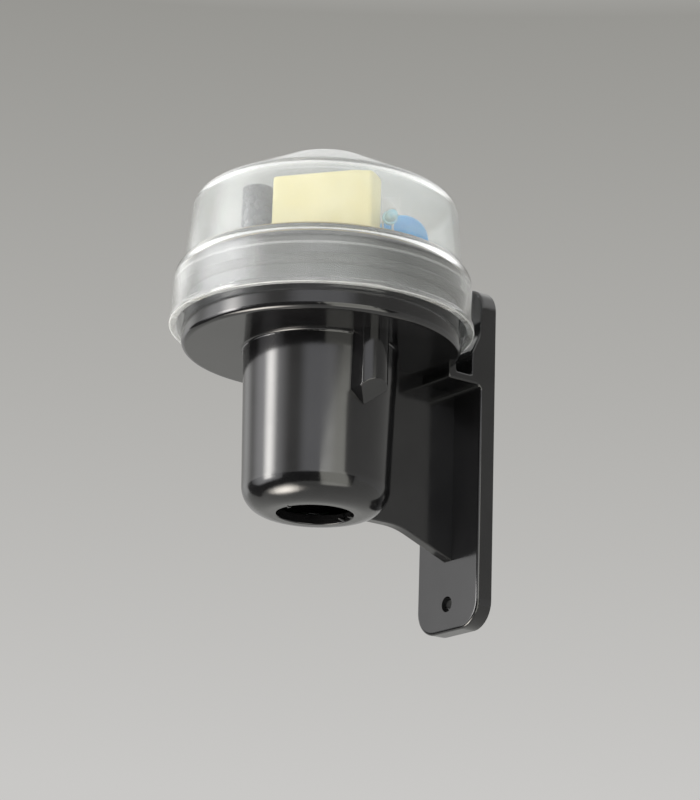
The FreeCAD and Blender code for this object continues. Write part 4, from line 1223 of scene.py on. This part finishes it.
# Black cloth of the flag: matt and very dark, so the gloss has something dark to mirror
flagLook = {"tone": ("#050505", "#0A0A0A", 30), "gloss": (0.9, 1.0, 10), "skin": (2, 0.1)}
flag = {"sides": (-130, 62), "heights": (-36, 3), "distance": 1.25, "steps": 24}
flagVerts, flagFaces = [], []
for i in range(flag["steps"] + 1):
    side = flag["sides"][0] + (flag["sides"][1] - flag["sides"][0]) * i / flag["steps"]
    for height in flag["heights"]:
        flagVerts.append(aroundAim(side, height, flag["distance"])[0])
    if i:
        flagFaces.append((2 * i - 2, 2 * i - 1, 2 * i + 1, 2 * i))
flagMesh = bpy.data.meshes.new("blackFlag")
flagMesh.from_pydata(flagVerts, [], flagFaces)
flagMesh.materials.append(surface("blackFlagCloth", flagLook))
flagObject = newObject("blackFlag", flagMesh)
flagObject.visible_camera = False
flagObject.visible_transmission = False

# Backdrop: a pale grey that darkens upwards and brightens again overhead, like a light tent, and
# a plain pale floor well below. Heights are of the way looked along, -1 down and 1 up.

tent = {
    "heights": (-0.2, 1.0),
    "tones": [
        (0.0, "#D9D9D7"),
        (0.294, "#C9C8C6"),
        (0.412, "#B1B0AD"),
        (0.524, "#979692"),
        (0.6, "#F4F4F2"),
        (0.8, "#F4F4F2"),
        (1.0, "#D0D0CE"),
    ],
    "ring": (0.44, 0.56),  # the bright ring starts between these
    "ringBright": 1.55,
    "ringDim": 0.85,
    "jointSide": 180,  # behind the object the ring is dimmer, so the cover's cap reflects less of it
    "jointHeight": 38,
    "jointSpan": (0.94, 0.985),
    "zenith": (0.66, 0.85),
    "zenithLoss": 0.3,
}
world = bpy.data.worlds.new("studio")
bpy.context.scene.world = world
world.use_nodes = True
sky = world.node_tree
sky.nodes.clear()
direction = addNode(sky, "ShaderNodeTexCoord").outputs["Generated"]
height = addNode(sky, "ShaderNodeSeparateXYZ", {}, {"Vector": direction}).outputs["Z"]
share = addNode(
    sky, "ShaderNodeMapRange", {"From Min": tent["heights"][0], "From Max": tent["heights"][1]}, {"Value": height}
)
tones = addNode(sky, "ShaderNodeValToRGB", {}, {"Fac": share.outputs["Result"]})
while len(tones.color_ramp.elements) < len(tent["tones"]):
    tones.color_ramp.elements.new(0.5)
for element, (position, code) in zip(tones.color_ramp.elements, tent["tones"]):
    element.position = position
    element.color = linear(code)
jointWay = aroundAim(tent["jointSide"], tent["jointHeight"], 1.0)[1]
towardJoint = addNode(sky, "ShaderNodeVectorMath", {"operation": "DOT_PRODUCT", 1: tuple(jointWay)}, {0: direction})
ringLevel = addNode(
    sky,
    "ShaderNodeMapRange",
    {
        "interpolation_type": "SMOOTHSTEP",
        "From Min": tent["jointSpan"][0],
        "From Max": tent["jointSpan"][1],
        "To Min": tent["ringBright"],
        "To Max": tent["ringDim"],
    },
    {"Value": towardJoint.outputs["Value"]},
)
ring = addNode(
    sky,
    "ShaderNodeMapRange",
    {
        "interpolation_type": "SMOOTHSTEP",
        "From Min": tent["ring"][0],
        "From Max": tent["ring"][1],
        "To Min": 1.0,
    },
    {"Value": height, "To Max": ringLevel.outputs["Result"]},
)
zenith = addNode(
    sky,
    "ShaderNodeMapRange",
    {
        "interpolation_type": "SMOOTHSTEP",
        "From Min": tent["zenith"][0],
        "From Max": tent["zenith"][1],
        "To Min": 0.0,
        "To Max": tent["zenithLoss"],
    },
    {"Value": height},
)
overhead = addNode(
    sky, "ShaderNodeMath", {"operation": "SUBTRACT"}, {0: ring.outputs["Result"], 1: zenith.outputs["Result"]}
)
glow = addNode(sky, "ShaderNodeBackground", {}, {"Color": tones.outputs["Color"], "Strength": overhead.outputs[0]})
addNode(sky, "ShaderNodeOutputWorld", {}, {"Surface": glow.outputs[0]})

# Painted board underfoot: pale grey and matt
floorLook = {"tone": ("#D0D0CE", "#D3D3D1", 400), "gloss": (0.7, 0.8, 100), "skin": (3, 0.02)}
floor = {"reach": 4.0, "level": -0.9}
floorMesh = bpy.data.meshes.new("floor")
floorCorners = [(floor["reach"] * x, floor["reach"] * y, floor["level"]) for x, y in fourCorners]
floorMesh.from_pydata(floorCorners, [], [(0, 1, 2, 3)])
floorMesh.materials.append(surface("paintedStudioFloor", floorLook))
newObject("floor", floorMesh)

bpy.context.scene.view_settings.view_transform = "Standard"
print("camera, light and floor")
